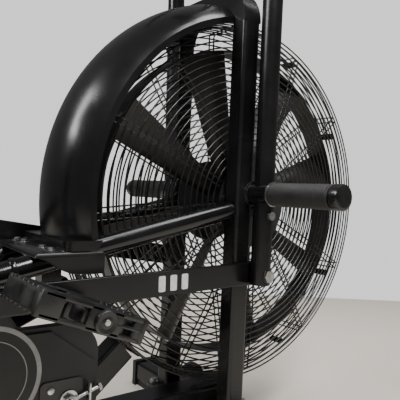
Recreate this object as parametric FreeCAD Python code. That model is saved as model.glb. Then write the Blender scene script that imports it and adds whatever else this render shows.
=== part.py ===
import FreeCAD, Part
import math
import os
from FreeCAD import Vector

os.makedirs("parts", exist_ok=True)

# Air bike.  +X points forward from the seat to the fan, +Y to the rider's left, +Z up.
# The origin is on the floor, under the middle of the base.  Millimetres and degrees.

# ---- overall sizes -------------------------------------------------------------------------
OVERALL_LENGTH = 1310.0         # rear stabiliser to the front of the cage
OVERALL_WIDTH = 600.0           # over the tips of the two foot pegs
HALF_LENGTH = OVERALL_LENGTH / 2
HALF_WIDTH = OVERALL_WIDTH / 2
RUN_FIT = 0.05                  # radial clearance of a turning shaft
FACE_GAP = 0.5                  # between faces that slide or turn past each other

# ---- base ----------------------------------------------------------------------------------
FOOT_HEIGHT = 12.0
STAB_DEPTH = 60.0               # stabiliser tube, along X
STAB_HEIGHT = 40.0
STAB_LENGTH = 500.0
TUBE_WALL = 2.5
CORNER_R = 6.0
CAP_THICK = 12.0
BEAM_WIDTH = 60.0
BEAM_HEIGHT = 40.0
WHEEL_R = 28.0
WHEEL_WIDTH = 22.0
WHEEL_Y = 160.0
WHEEL_LIFT = 7.0                # of the transport wheel above the floor
WHEEL_PIN_R = 4.0
EAR_THICK = 4.0

# ---- fork, lever pivots and pegs -----------------------------------------------------------
PEG_Z = 454.0
FORK_SETBACK = 18.0             # of the legs behind the peg axis
STAB_AHEAD = 30.0               # of the front stabiliser in front of the peg axis
LEG_DEPTH = 36.0                # along X
LEG_WIDTH = 34.0                # along Y
LEG_INNER_Y = 76.0
BRIDGE_BEND_R = 48.0            # centre line radius of the fork's top corners
BRIDGE_CLEAR = 10.0             # above the cage
BASE_PLATE_THICK = 8.0
BASE_PLATE_OVERHANG = 16.0
PIVOT_R = 12.5
BOSS_R = 19.0
BUSH_WALL = 3.0
SLEEVE_WALL = 5.0
PEG_GRIP_R = 19.5
PEG_CAP_R = 20.0
PEG_CAP_LENGTH = 16.0
PEG_GROOVE = 3.0

# ---- levers and links ----------------------------------------------------------------------
LEVER_R = 17.0
LEVER_WALL = 2.5
LEVER_GAP = 10.0                # from the leg's outer face to the lever tube
LOWER_ARM = 137.0               # from the pivot down to the link's bolt
LEVER_STRAIGHT_Z = 900.0
HANDLE_BACK = (118.0, 150.0)    # how far the handle's two upper points lie behind the pivot
HANDLE_OUT = (52.0, 78.0)       # and how far outboard of the lever
HANDLE_Z = (1046.0, 1222.0)
HANDLE_BEND_R = 70.0
GRIP_LENGTH = 130.0
GRIP_THICK = 3.5
LINK_THICK = 8.0
LINK_HEIGHT = 40.0
LINK_WALL_GAP = 1.5             # from the leg to the link
EYE_R = 20.0
LINK_BOLT_R = 6.0

# ---- crank and pedals ----------------------------------------------------------------------
CRANK_BEHIND = 516.0            # the peg axis
CRANK_Z = 352.0
CRANK_LENGTH = 170.0
CRANK_ANGLE = -14.4             # of the right pedal, up from straight ahead
LINK_THROW = 46.0
LINK_PIN_ANGLE = -96.0          # of the right link pin, up from straight ahead
AXLE_R = 10.0
WEB_THICK = 12.0
WEB_R = 18.0
ARM_THICK = 15.0
ARM_R = 16.0
LINK_PIN_R = 8.0
SPINDLE_R = 6.5
PEDAL_GAP = 12.0                # from the crank arm to the pedal body
PEDAL_WIDTH = 118.0             # along Y
PEDAL_REAR = 80.0               # behind and in front of its spindle
PEDAL_FRONT = 55.0
PEDAL_TILT = 21.0               # nose down
PEDAL_THICK = 30.0
PEDAL_HUB_R = 13.0
SHELL_R = 22.0
SHELL_WALL = 5.0

# ---- fan and cage --------------------------------------------------------------------------
FAN_AHEAD = 40.0                # of the fan axle in front of the peg axis
FAN_BELOW = 18.0
FAN_AXLE_R = 8.5
HUB_R = 44.0
HUB_HALF = 27.0
BEARING_R = 20.0
BEARING_WIDTH = 12.0
BLADE_COUNT = 8
BLADE_ROOT = 34.0
BLADE_TIP = 78.0
BLADE_THICK = 2.0
BLADE_PITCH = 32.0
RIM_R = 282.0
RIM_THICK = 2.5
RIM_HALF = 24.0
CAGE_R = 330.0
CAGE_RIM_Y = 40.0
CAGE_HUB_Y = (66.0, 56.0)       # right, and left where the belt passes outside
WIRE_R = 1.5                    # half the side of the cage's square wire
RING_PITCH = 12.0
HUB_PLATE_R = 80.0
HUB_PLATE_THICK = 1.5
SPOKE_PAIRS = 12
SPOKE_SPREAD = 11.0
CLIP_ANGLES = (-100, -62, -28, 28, 62, 232)
AXLE_PLATE_THICK = 6.0
NUT_HEIGHT = 9.0
NUT_R = 14.0

# ---- fender --------------------------------------------------------------------------------
FENDER_R = 368.0                # crown
FENDER_EDGE_R = 320.0
FENDER_SHOULDER_R = 330.0
FENDER_HALF = 82.0
FENDER_THICK = 3.5
FENDER_FOOT_Z = 363.0
COLLAR_HEIGHT = 14.0
COLLAR_FLARE = 7.0
SADDLE_DROP = 34.0
SADDLE_FRONT = 4.0
SADDLE_REAR = 49.0

# ---- side tubes, struts and mast -----------------------------------------------------------
SIDE_R = 16.0
SIDE_KNEE = (-330.0, 68.0, -102.0)      # x and z from the peg axis
SIDE_END = (-548.0, 34.0, -163.0)
SIDE_TOP_DROP = 30.0            # of the side tube's weld below the peg axis
MAST_ANGLE = 75.0               # above the floor, leaning back
MAST_DEPTH = 60.0
MAST_WIDTH = 50.0
MAST_WALL = 3.0
MAST_TOP_Z = 600.0
STRUT_WIDTH = 36.0
STAY_WIDTH = 40.0
STAY_HEIGHT = 44.0
STRUT_HEAD = (-285.0, -157.0)   # from the peg axis
STRUT_RISE = 23.4
STAY_ANGLE = 40.5               # of the cage's stay, above the beam
STAY_BEHIND = 298.0             # its centre line at the beam's top, behind the peg axis
SHELL_RIGHT_Y = -64.0
SHELL_LEFT_Y = 74.0
JACK_SHELL_LEFT_Y = 50.0

# ---- drive ---------------------------------------------------------------------------------
JACK_BEHIND = 370.0             # the peg axis
JACK_Z = 154.0
JACK_R = 8.0
CHAINRING_R = 45.0
SPROCKET_R = 22.0
JACK_PULLEY_R = 50.0
FAN_PULLEY_R = 20.0
CHAIN_Y = -76.0
CHAIN_WIDTH = 5.0
CHAIN_THICK = 6.0
BELT_WIDTH = 8.0
BELT_THICK = 3.0
BELT_OUTER_Y = 68.0
COVER_OUTER_Y = 90.0
COVER_DEPTH = 22.0
COVER_THICK = 3.0
COVER_WRAP = 72.0               # radius round the crank
COVER_FRONT = 270.0             # of the cover's front edge behind the peg axis
COVER_SHOULDER = (-384.0, -193.0)   # where the top edge turns level, from the peg axis
PANEL_CHAMFER = ((-341.0, -201.0), (-258.0, -263.0))
PANEL_THICK = 5.0
TENSIONER = (-316.0, -296.0)    # nut, from the peg axis

# ---- seat ----------------------------------------------------------------------------------
POST_GAP = 0.5
POST_WALL = 2.5
POST_INSERT = 220.0             # of the post, down inside the mast
POST_HOLE_PITCH = 25.0
RAIL_LENGTH = 240.0
RAIL_WIDTH = 40.0
RAIL_HEIGHT = 25.0
CARRIAGE_WALL = 4.0
CARRIAGE_LENGTH = 110.0
SEAT_PLATE = (180.0, 60.0)
SEAT_Z = 830.0                  # underside of the cushion
SEAT_LENGTH = 270.0
SEAT_REAR_WIDTH = 250.0
SEAT_NOSE_WIDTH = 130.0
SEAT_THICK = 68.0
PIN_R = 4.8
PIN_HOLE_R = 5.2
KNOB_R = (17.0, 14.0)           # post pin, carriage pin
PIN_DROP = 45.0                 # of the pop-pin below the mast's top
PIN_BOSS_R = 11.0
PIN_BOSS_LENGTH = 14.0
RAIL_HOLE_PITCH = 20.0
CARRIAGE_BOSS = 10.0
PIN_DRAW = 6.0                  # both pins stand drawn out by this much

# ---- console -------------------------------------------------------------------------------
STEM_R = 16.0
STEM_TOP = (-42.0, 1085.0)       # x from the peg axis
CONSOLE_WIDTH = 210.0
CONSOLE_HEIGHT = 150.0
CONSOLE_DEPTH = 34.0
CONSOLE_TILT = 25.0             # of the console's face, leaning back from upright
KEY_R = 9.0
HINGE_R = 11.0
HINGE_HALF = 20.0
KEY_TRAVEL = 2.0
KEY_DEPTH = 6.0
KEY_SPACING = 52.0

# ---- places that follow from the sizes above -------------------------------------------------
STAB_TOP = FOOT_HEIGHT + STAB_HEIGHT
BEAM_TOP = STAB_TOP + BEAM_HEIGHT
REAR_STAB_X = -HALF_LENGTH + STAB_DEPTH / 2
PEG_X = HALF_LENGTH - CAGE_R - WIRE_R - FAN_AHEAD
FRONT_STAB_X = PEG_X + STAB_AHEAD
WHEEL_X = FRONT_STAB_X + STAB_DEPTH / 2 + 3 + WHEEL_R
CRANK_X = PEG_X - CRANK_BEHIND
JACK_X = PEG_X - JACK_BEHIND
WHEEL_Z = WHEEL_R + WHEEL_LIFT
FORK_X = PEG_X - FORK_SETBACK
LEG_Y = LEG_INNER_Y + LEG_WIDTH / 2
LEG_OUTER_Y = LEG_INNER_Y + LEG_WIDTH
FAN_X = PEG_X + FAN_AHEAD
FAN_Z = PEG_Z - FAN_BELOW
BRIDGE_Z = FAN_Z + CAGE_R + WIRE_R + BRIDGE_CLEAR + LEG_WIDTH / 2
LEG_TOP = BRIDGE_Z - BRIDGE_BEND_R
LEVER_Y = LEG_OUTER_Y + LEVER_GAP + LEVER_R
LEVER_OUTER_Y = LEVER_Y + LEVER_R
LINK_Y0 = LEG_OUTER_Y + LINK_WALL_GAP
LINK_Y1 = LINK_Y0 + LINK_THICK
WEB_Y1 = LEG_OUTER_Y
WEB_Y0 = WEB_Y1 - WEB_THICK
ARM_Y0 = LINK_Y1 + LINK_WALL_GAP
ARM_Y1 = ARM_Y0 + ARM_THICK
PEDAL_Y0 = ARM_Y1 + PEDAL_GAP
PEDAL_Y1 = PEDAL_Y0 + PEDAL_WIDTH
LINK_DROP_Z = PEG_Z - LOWER_ARM
MAST_LEAN = math.radians(MAST_ANGLE)
MAST_UP = Vector(-math.cos(MAST_LEAN), 0, math.sin(MAST_LEAN))
MAST_OUT = Vector(math.sin(MAST_LEAN), 0, math.cos(MAST_LEAN))
MAST_FRONT_X = CRANK_X - SHELL_R - 4
BELT_INNER_Y = BELT_OUTER_Y - BELT_WIDTH
Y_AXIS = Vector(0, 1, 0)
SIDES = (-1, 1)                 # right, left


def on_mast(z):
    """The point of the mast's centre line at height z."""
    x = MAST_FRONT_X - MAST_DEPTH / 2 / math.sin(MAST_LEAN) - (z - CRANK_Z) / math.tan(MAST_LEAN)
    return Vector(x, 0, z)


# ---- shape helpers ---------------------------------------------------------------------------
def save(name, *solids):
    shape = solids[0] if len(solids) == 1 else Part.Compound(list(solids))
    shape.exportStep("parts/" + name + ".step")


def box(x0, x1, y0, y1, z0, z1):
    return Part.makeBox(x1 - x0, y1 - y0, z1 - z0, Vector(x0, y0, z0))


def rod(start, end, radius):
    run = end - start
    return Part.makeCylinder(radius, run.Length, start, run)


def disc(x, z, radius, y0, y1):
    """A round piece on an axis along Y."""
    low = min(y0, y1)
    return Part.makeCylinder(radius, abs(y1 - y0), Vector(x, low, z), Y_AXIS)


def ring(x, z, outer, inner, y0, y1):
    return disc(x, z, outer, y0, y1).cut(disc(x, z, inner, y0 - 1, y1 + 1) if y1 > y0
                                         else disc(x, z, inner, y1 - 1, y0 + 1))


def mirrored(shape):
    return shape.mirror(Vector(0, 0, 0), Y_AXIS)


def pair(shape):
    """The right-hand piece and its mirror image on the left."""
    return shape, mirrored(shape)


def rounded_section(width, height, corner):
    """A rectangle with round corners about the origin of the XY plane, as a wire."""
    a = width / 2
    b = height / 2
    c = min(corner, a * 0.9, b * 0.9)
    k = c * (1 - math.sqrt(0.5))
    edges = []
    corners = ((a, b, 1, 1), (-a, b, -1, 1), (-a, -b, -1, -1), (a, -b, 1, -1))
    ends = []
    for x, y, sx, sy in corners:
        side = Vector(x, y - sy * c, 0)
        top = Vector(x - sx * c, y, 0)
        middle = Vector(x - sx * k, y - sy * k, 0)
        first, last = (side, top) if sx * sy > 0 else (top, side)
        edges.append(Part.Arc(first, middle, last).toShape())
        ends.append((first, last))
    for i in range(4):
        edges.append(Part.makeLine(ends[i][1], ends[(i + 1) % 4][0]))
    return Part.Wire(Part.__sortEdges__(edges))


def bar(start, end, width, height, corner, across=Y_AXIS):
    """A solid bar from start to end: width lies along across, height at right angles to it."""
    run = end - start
    along = Vector(run).normalize()
    up = along.cross(across).normalize()
    face = Part.Face(rounded_section(width, height, corner))
    face.Placement = FreeCAD.Placement(start, FreeCAD.Rotation(across, up, along, "ZXY"))
    return face.extrude(run)


def tube(start, end, width, height, corner, wall, across=Y_AXIS):
    """A rectangular tube, open at both ends."""
    along = Vector(end - start).normalize()
    bore = bar(start - along, end + along, width - 2 * wall, height - 2 * wall,
               max(corner - wall, 1.0), across)
    return bar(start, end, width, height, corner, across).cut(bore)


def bent_path(points, bend):
    """Straight runs through the points, joined by tangent arcs of radius bend."""
    edges = []
    start = points[0]
    for before, knee, after in zip(points, points[1:], points[2:]):
        into = (before - knee).normalize()
        out = (after - knee).normalize()
        half = into.getAngle(out) / 2
        reach = bend / math.tan(half)
        first = knee + into * reach
        last = knee + out * reach
        centre = knee + (into + out).normalize() * (bend / math.sin(half))
        middle = centre + (knee - centre).normalize() * bend
        edges.append(Part.makeLine(start, first))
        edges.append(Part.Arc(first, middle, last).toShape())
        start = last
    edges.append(Part.makeLine(start, points[-1]))
    return Part.Wire(edges)


def sweep_round(path, radius):
    first = path.Edges[0]
    start = first.valueAt(first.FirstParameter)
    heading = first.tangentAt(first.FirstParameter)
    profile = Part.Wire(Part.makeCircle(radius, start, heading))
    return path.makePipeShell([profile], True, False)


def bent_tube(points, radius, wall, bend):
    """A round tube, open at both ends."""
    path = bent_path(points, bend)
    return sweep_round(path, radius).cut(sweep_round(path, radius - wall))


def strap(x1, z1, r1, x2, z2, r2, y0, y1):
    """A flat piece whose outline wraps two circles, extruded along Y."""
    low = min(y0, y1)
    gap = math.hypot(x2 - x1, z2 - z1)
    lean = math.atan2(z2 - z1, x2 - x1)
    spread = math.acos((r1 - r2) / gap)

    def at(x, z, r, angle):
        return Vector(x + r * math.cos(angle), low, z + r * math.sin(angle))

    a = at(x1, z1, r1, lean + spread)
    b = at(x1, z1, r1, lean - spread)
    c = at(x2, z2, r2, lean - spread)
    d = at(x2, z2, r2, lean + spread)
    edges = [Part.Arc(a, at(x1, z1, r1, lean + math.pi), b).toShape(),
             Part.makeLine(b, c),
             Part.Arc(c, at(x2, z2, r2, lean), d).toShape(),
             Part.makeLine(d, a)]
    return Part.Face(Part.Wire(edges)).extrude(Vector(0, abs(y1 - y0), 0))


def outline(points, y0, y1):
    """A flat piece with straight sides, from (x, z) corners, extruded along Y."""
    low = min(y0, y1)
    corners = [Vector(x, low, z) for x, z in points]
    face = Part.Face(Part.makePolygon(corners + [corners[0]]))
    return face.extrude(Vector(0, abs(y1 - y0), 0))


def soften(shape, radius, keep):
    """Round the edges that keep() picks."""
    edges = [edge for edge in shape.Edges if keep(edge)]
    return shape.makeFillet(radius, edges) if edges else shape


def along_y(edge):
    if not isinstance(edge.Curve, Part.Line):
        return False
    return abs(abs(edge.Curve.Direction.y) - 1) < 1e-6


def on_circle(x, z, radius, degrees):
    angle = math.radians(degrees)
    return x + radius * math.cos(angle), z + radius * math.sin(angle)


# ---- base: beam, stabilisers, end caps, transport wheels ---------------------------------------
def stabiliser(x):
    z = FOOT_HEIGHT + STAB_HEIGHT / 2
    half = STAB_LENGTH / 2
    return tube(Vector(x, -half, z), Vector(x, half, z), STAB_DEPTH, STAB_HEIGHT, CORNER_R,
                TUBE_WALL, Vector(1, 0, 0))


def wheel_ears(y):
    """Two plates welded to the front of the stabiliser, and the pin between them."""
    weld = FRONT_STAB_X + STAB_DEPTH / 2
    inner = WHEEL_WIDTH / 2 + FACE_GAP
    outer = inner + EAR_THICK
    low = FOOT_HEIGHT + CORNER_R
    high = STAB_TOP - CORNER_R
    piece = disc(WHEEL_X, WHEEL_Z, WHEEL_PIN_R, y - outer, y + outer)
    for side in SIDES:
        y0, y1 = sorted((y + side * inner, y + side * outer))
        plate = box(weld - 0.5, WHEEL_X, y0, y1, low, high)
        nose = disc(WHEEL_X, WHEEL_Z, WHEEL_R * 0.5, y0, y1)
        piece = piece.fuse(plate).fuse(nose)
    return piece


def end_cap(x, side):
    """A moulded cap over the tube's end, with a foot under it."""
    tip = STAB_LENGTH / 2
    rim = 3.0
    y0, y1 = sorted((side * tip, side * (tip + CAP_THICK)))
    plate = box(x - STAB_DEPTH / 2 - rim, x + STAB_DEPTH / 2 + rim, y0, y1, 0, STAB_TOP + rim)
    f0, f1 = sorted((side * (tip - 46), side * (tip + CAP_THICK)))
    foot = box(x - STAB_DEPTH / 2 + 4, x + STAB_DEPTH / 2 - 4, f0, f1, 0, FOOT_HEIGHT)
    return plate.fuse(foot).removeSplitter()


front_stabiliser = stabiliser(FRONT_STAB_X)
for wheel_side in SIDES:
    front_stabiliser = front_stabiliser.fuse(wheel_ears(wheel_side * WHEEL_Y))
save("front_stabiliser", front_stabiliser)
save("rear_stabiliser", stabiliser(REAR_STAB_X))
save("end_caps", *[end_cap(x, side) for x in (REAR_STAB_X, FRONT_STAB_X) for side in SIDES])

beam_z = STAB_TOP + BEAM_HEIGHT / 2
beam_start = Vector(REAR_STAB_X - STAB_DEPTH / 2 + 6, 0, beam_z)
beam_end = Vector(FRONT_STAB_X + STAB_DEPTH / 2 - 6, 0, beam_z)
save("main_beam", tube(beam_start, beam_end, BEAM_WIDTH, BEAM_HEIGHT, CORNER_R, TUBE_WALL))

for wheel_side, wheel_name in zip(SIDES, ("right", "left")):
    wheel_y = wheel_side * WHEEL_Y
    tyre = ring(WHEEL_X, WHEEL_Z, WHEEL_R, WHEEL_PIN_R + RUN_FIT,
                wheel_y - WHEEL_WIDTH / 2, wheel_y + WHEEL_WIDTH / 2)
    save("transport_wheel_" + wheel_name, tyre)

# ---- fork: base plate, legs, bridge, axle plates ------------------------------------------------
leg_foot = STAB_TOP + BASE_PLATE_THICK
plate_rear = FORK_X - LEG_DEPTH / 2 - BASE_PLATE_OVERHANG
plate_front = FRONT_STAB_X + STAB_DEPTH / 2 - CORNER_R
foot_plate = box(plate_rear, plate_front, -LEG_OUTER_Y - BASE_PLATE_OVERHANG, -BEAM_WIDTH / 2 - FACE_GAP,
                 STAB_TOP, leg_foot)
foot_plate = soften(foot_plate, 10.0, lambda edge: abs(edge.BoundBox.ZLength - BASE_PLATE_THICK) < 0.1
                    and edge.BoundBox.XLength < 0.1 and edge.BoundBox.YMax < -LEG_OUTER_Y)
plate_y0 = LEG_INNER_Y - AXLE_PLATE_THICK
axle_plate = strap(FORK_X, FAN_Z - 8, 26, FAN_X, FAN_Z, 22, -LEG_INNER_Y, -plate_y0)
axle_plate = axle_plate.cut(disc(FAN_X, FAN_Z, FAN_AXLE_R, -LEG_INNER_Y - 1, -plate_y0 + 1))
save("fork_plates", *pair(foot_plate), *pair(axle_plate))

leg = tube(Vector(FORK_X, -LEG_Y, leg_foot), Vector(FORK_X, -LEG_Y, LEG_TOP),
           LEG_WIDTH, LEG_DEPTH, CORNER_R, TUBE_WALL)
save("fork_legs", *pair(leg))


def arch(half_width, depth):
    """An inverted U between the legs' tops, half_width either side of the centre line."""
    def loop(offset):
        outer = LEG_Y + offset
        radius = BRIDGE_BEND_R + offset
        top = BRIDGE_Z + offset
        k = radius * (1 - math.sqrt(0.5))
        x = FORK_X - depth / 2
        points = [Vector(x, -outer, LEG_TOP), Vector(x, -outer + k, top - k),
                  Vector(x, -outer + radius, top), Vector(x, outer - radius, top),
                  Vector(x, outer - k, top - k), Vector(x, outer, LEG_TOP)]
        return points
    out = loop(half_width)
    inn = loop(-half_width)
    edges = [Part.Arc(out[0], out[1], out[2]).toShape(), Part.makeLine(out[2], out[3]),
             Part.Arc(out[3], out[4], out[5]).toShape(), Part.makeLine(out[5], inn[5]),
             Part.Arc(inn[5], inn[4], inn[3]).toShape(), Part.makeLine(inn[3], inn[2]),
             Part.Arc(inn[2], inn[1], inn[0]).toShape(), Part.makeLine(inn[0], out[0])]
    return Part.Face(Part.Wire(edges)).extrude(Vector(depth, 0, 0))


bridge_bore = arch(LEG_WIDTH / 2 - TUBE_WALL, LEG_DEPTH - 2 * TUBE_WALL)
save("fork_bridge", arch(LEG_WIDTH / 2, LEG_DEPTH).cut(bridge_bore))


# ---- fan: fixed axle, hub, bearings, blades, rim, pulley -----------------------------------------


def hex_nut(x, z, across, bore, y0, y1):
    corners = [on_circle(x, z, across, 60 * i) for i in range(6)]
    return outline(corners, y0, y1).cut(disc(x, z, bore, min(y0, y1) - 1, max(y0, y1) + 1))


axle_half = LEG_INNER_Y + NUT_HEIGHT + 4
axle_nut = hex_nut(FAN_X, FAN_Z, NUT_R, FAN_AXLE_R, -LEG_INNER_Y - NUT_HEIGHT, -LEG_INNER_Y)
spacer = ring(FAN_X, FAN_Z, FAN_AXLE_R + 5, FAN_AXLE_R, -plate_y0, -CAGE_HUB_Y[0] - WIRE_R)
save("fan_axle", disc(FAN_X, FAN_Z, FAN_AXLE_R, -axle_half, axle_half), *pair(axle_nut), spacer)

hub = disc(FAN_X, FAN_Z, HUB_R, -HUB_HALF, HUB_HALF)
hub = hub.cut(disc(FAN_X, FAN_Z, FAN_AXLE_R + 4, -HUB_HALF - 1, HUB_HALF + 1))
bearings = []
for hub_side in SIDES:
    face_y = hub_side * HUB_HALF
    deep_y = hub_side * (HUB_HALF - BEARING_WIDTH)
    hub = hub.cut(disc(FAN_X, FAN_Z, BEARING_R + RUN_FIT, deep_y, face_y + hub_side))
    bearings.append(ring(FAN_X, FAN_Z, BEARING_R, FAN_AXLE_R, deep_y + hub_side * FACE_GAP, face_y))
save("fan_hub", hub)


def blade(index):
    """A flat tapered sheet standing on the hub, turned to its pitch about its own length."""
    root = HUB_R
    tip = RIM_R - FACE_GAP
    corners = [Vector(root, -BLADE_ROOT / 2, 0), Vector(tip, -BLADE_TIP / 2, 0),
               Vector(tip, BLADE_TIP / 2, 0), Vector(root, BLADE_ROOT / 2, 0)]
    sheet = Part.Face(Part.makePolygon(corners + [corners[0]]))
    sheet = sheet.extrude(Vector(0, 0, BLADE_THICK))
    sheet.translate(Vector(0, 0, -BLADE_THICK / 2))
    # the sheet lies in the XY plane: its width is turned from Y towards Z about its length X
    sheet.rotate(Vector(0, 0, 0), Vector(1, 0, 0), 90 - BLADE_PITCH)
    sheet = sheet.common(Part.makeCylinder(RIM_R - FACE_GAP, 400, Vector(0, -200, 0), Y_AXIS))
    sheet = sheet.cut(Part.makeCylinder(HUB_R, 400, Vector(0, -200, 0), Y_AXIS))
    sheet.rotate(Vector(0, 0, 0), Vector(0, -1, 0), 360 / BLADE_COUNT * (index + 0.35))
    sheet.translate(Vector(FAN_X, 0, FAN_Z))
    return sheet


save("fan_blades", *[blade(i) for i in range(BLADE_COUNT)])
save("fan_rim", ring(FAN_X, FAN_Z, RIM_R + RIM_THICK, RIM_R, -RIM_HALF, RIM_HALF))

pulley = disc(FAN_X, FAN_Z, FAN_PULLEY_R, BELT_INNER_Y, BELT_OUTER_Y)
pulley = pulley.fuse(disc(FAN_X, FAN_Z, FAN_PULLEY_R - 6, HUB_HALF, BELT_INNER_Y))
pulley = pulley.cut(disc(FAN_X, FAN_Z, FAN_AXLE_R + RUN_FIT, HUB_HALF - 1, BELT_OUTER_Y + 1))
save("fan_pulley", pulley)


# ---- cage: two domed wire halves, hub plates, clips -----------------------------------------------
def dome_y(radius, side):
    """Height of the wire rings above the cage's middle plane."""
    hub_y = CAGE_HUB_Y[0 if side < 0 else 1]
    share = (radius - HUB_PLATE_R) / (CAGE_R - HUB_PLATE_R)
    return hub_y - (hub_y - CAGE_RIM_Y) * share ** 2


def wire_ring(radius, y):
    return ring(FAN_X, FAN_Z, radius + WIRE_R, radius - WIRE_R, y - WIRE_R, y + WIRE_R)


def cage_half(side):
    wires = []
    first = HUB_PLATE_R + RING_PITCH
    count = int((CAGE_R - 4 * WIRE_R - first) / RING_PITCH) + 1
    for i in range(count):
        radius = first + i * RING_PITCH
        wires.append(wire_ring(radius, side * dome_y(radius, side)))
    for i in range(4):
        wires.append(wire_ring(CAGE_R, side * (CAGE_RIM_Y - i * RING_PITCH)))
    # the radial wires lie under the rings and turn over the edge of the cage
    step = 2 * WIRE_R + 0.4
    hub_end = Vector(HUB_PLATE_R + 2, side * (dome_y(HUB_PLATE_R, side) - step), 0)
    middle = (HUB_PLATE_R + CAGE_R) / 2
    crest = Vector(middle, side * (dome_y(middle, side) - step - 0.3), 0)
    edge = Vector(CAGE_R - step, side * (CAGE_RIM_Y - step), 0)
    skirt = Vector(CAGE_R - step, side * (CAGE_RIM_Y - 3.3 * RING_PITCH), 0)
    path = bent_path([hub_end, crest, edge, skirt], 6.0)
    across = Vector(0, 0, WIRE_R)
    thick = (crest - hub_end).normalize().cross(Vector(0, 0, 1)) * WIRE_R
    corners = [hub_end + across + thick, hub_end + across - thick,
               hub_end - across - thick, hub_end - across + thick]
    spoke = path.makePipeShell([Part.makePolygon(corners + [corners[0]])], True, False)
    for i in range(SPOKE_PAIRS):
        for offset in (-SPOKE_SPREAD / 2, SPOKE_SPREAD / 2):
            wire = spoke.copy()
            wire.translate(Vector(0, 0, offset))
            wire.rotate(Vector(0, 0, 0), Vector(0, -1, 0), 360 / SPOKE_PAIRS * (i + 0.18))
            wire.translate(Vector(FAN_X, 0, FAN_Z))
            wires.append(wire)
    return wires


save("cage_right", *cage_half(-1))
save("cage_left", *cage_half(1))

hub_plates = []
for side in SIDES:
    face = dome_y(HUB_PLATE_R, side) + WIRE_R
    hub_plates.append(ring(FAN_X, FAN_Z, HUB_PLATE_R, FAN_PULLEY_R - 4,
                           *sorted((side * face, side * (face - HUB_PLATE_THICK)))))
save("cage_hub_plates", *hub_plates)


def cage_clip(degrees):
    """A folded strip that holds the two halves' edges together."""
    reach = CAGE_RIM_Y - 2 * RING_PITCH
    inner = CAGE_R + WIRE_R + 0.3
    strip = box(inner, inner + 1.5, -reach, reach, -7, 7)
    strip.rotate(Vector(0, 0, 0), Vector(0, -1, 0), degrees)
    strip.translate(Vector(FAN_X, 0, FAN_Z))
    return strip


save("cage_clips", *[cage_clip(angle) for angle in CLIP_ANGLES])


# ---- side tubes, fender and saddle --------------------------------------------------------------
side_points = [Vector(FORK_X - LEG_DEPTH / 2, -LEG_Y, PEG_Z - SIDE_TOP_DROP),
               Vector(PEG_X + SIDE_KNEE[0], -SIDE_KNEE[1], PEG_Z + SIDE_KNEE[2]),
               Vector(PEG_X + SIDE_END[0], -SIDE_END[1], PEG_Z + SIDE_END[2])]
side_tube = bent_tube(side_points, SIDE_R, TUBE_WALL, 300.0)
mast_foot = on_mast(BEAM_TOP - 6)
mast_head = on_mast(MAST_TOP_Z)
mast_block = bar(mast_foot, mast_head, MAST_WIDTH, MAST_DEPTH, CORNER_R)
side_tube = side_tube.cut(mast_block)
side_tube = side_tube.cut(box(FORK_X - LEG_DEPTH / 2, PEG_X, -LEG_OUTER_Y, 0, leg_foot, LEG_TOP))
side_tube = side_tube.cut(axle_plate)
channel = sweep_round(bent_path(side_points, 300.0), SIDE_R + 0.3)
cage_room = disc(FAN_X, FAN_Z, CAGE_R + WIRE_R + 3, -CAGE_RIM_Y - 8, CAGE_RIM_Y + 8)
save("side_tubes", *pair(side_tube))


def fender_section(inset):
    """The crowned section as a closed face, inset from the outer skin."""
    half = FENDER_HALF - inset
    x0 = FAN_X + FENDER_EDGE_R - (1.0 if inset else 0.0)
    shoulder = FAN_X + FENDER_SHOULDER_R
    crown = FAN_X + FENDER_R - inset
    a = Vector(x0, -half, FAN_Z)
    b = Vector(shoulder, -half, FAN_Z)
    c = Vector(crown, 0, FAN_Z)
    d = Vector(shoulder, half, FAN_Z)
    e = Vector(x0, half, FAN_Z)
    edges = [Part.makeLine(a, b), Part.Arc(b, c, d).toShape(), Part.makeLine(d, e),
             Part.makeLine(e, a)]
    return Part.Face(Part.Wire(edges))


def fender_sweep(inset):
    face = fender_section(inset)
    centre = Vector(FAN_X, 0, FAN_Z)
    face.rotate(centre, Vector(0, -1, 0), 85)
    return face.revolve(centre, Vector(0, -1, 0), 125)


fork_back = FORK_X - LEG_DEPTH / 2 - 1.5
above_saddle = box(-HALF_LENGTH, fork_back, -HALF_WIDTH, HALF_WIDTH, FENDER_FOOT_Z, 2 * BRIDGE_Z)
fender_solid = fender_sweep(0).common(above_saddle)
collar_x1 = FAN_X - math.sqrt(FENDER_EDGE_R ** 2 - (FAN_Z - FENDER_FOOT_Z) ** 2)
collar_x0 = FAN_X - math.sqrt(FENDER_R ** 2 - (FAN_Z - FENDER_FOOT_Z) ** 2)
collar_y = FENDER_HALF + COLLAR_FLARE
collar = bar(Vector((collar_x0 + collar_x1) / 2, 0, FENDER_FOOT_Z),
             Vector((collar_x0 + collar_x1) / 2, 0, FENDER_FOOT_Z + COLLAR_HEIGHT),
             2 * collar_y, collar_x1 - collar_x0 + 2 * COLLAR_FLARE, 14.0)
fender = fender_solid.fuse(collar).cut(fender_sweep(FENDER_THICK)).cut(cage_room)
for cutter in pair(channel):
    fender = fender.cut(cutter)
fender = max(fender.Solids, key=lambda solid: solid.Volume)
save("fender", fender)

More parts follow.
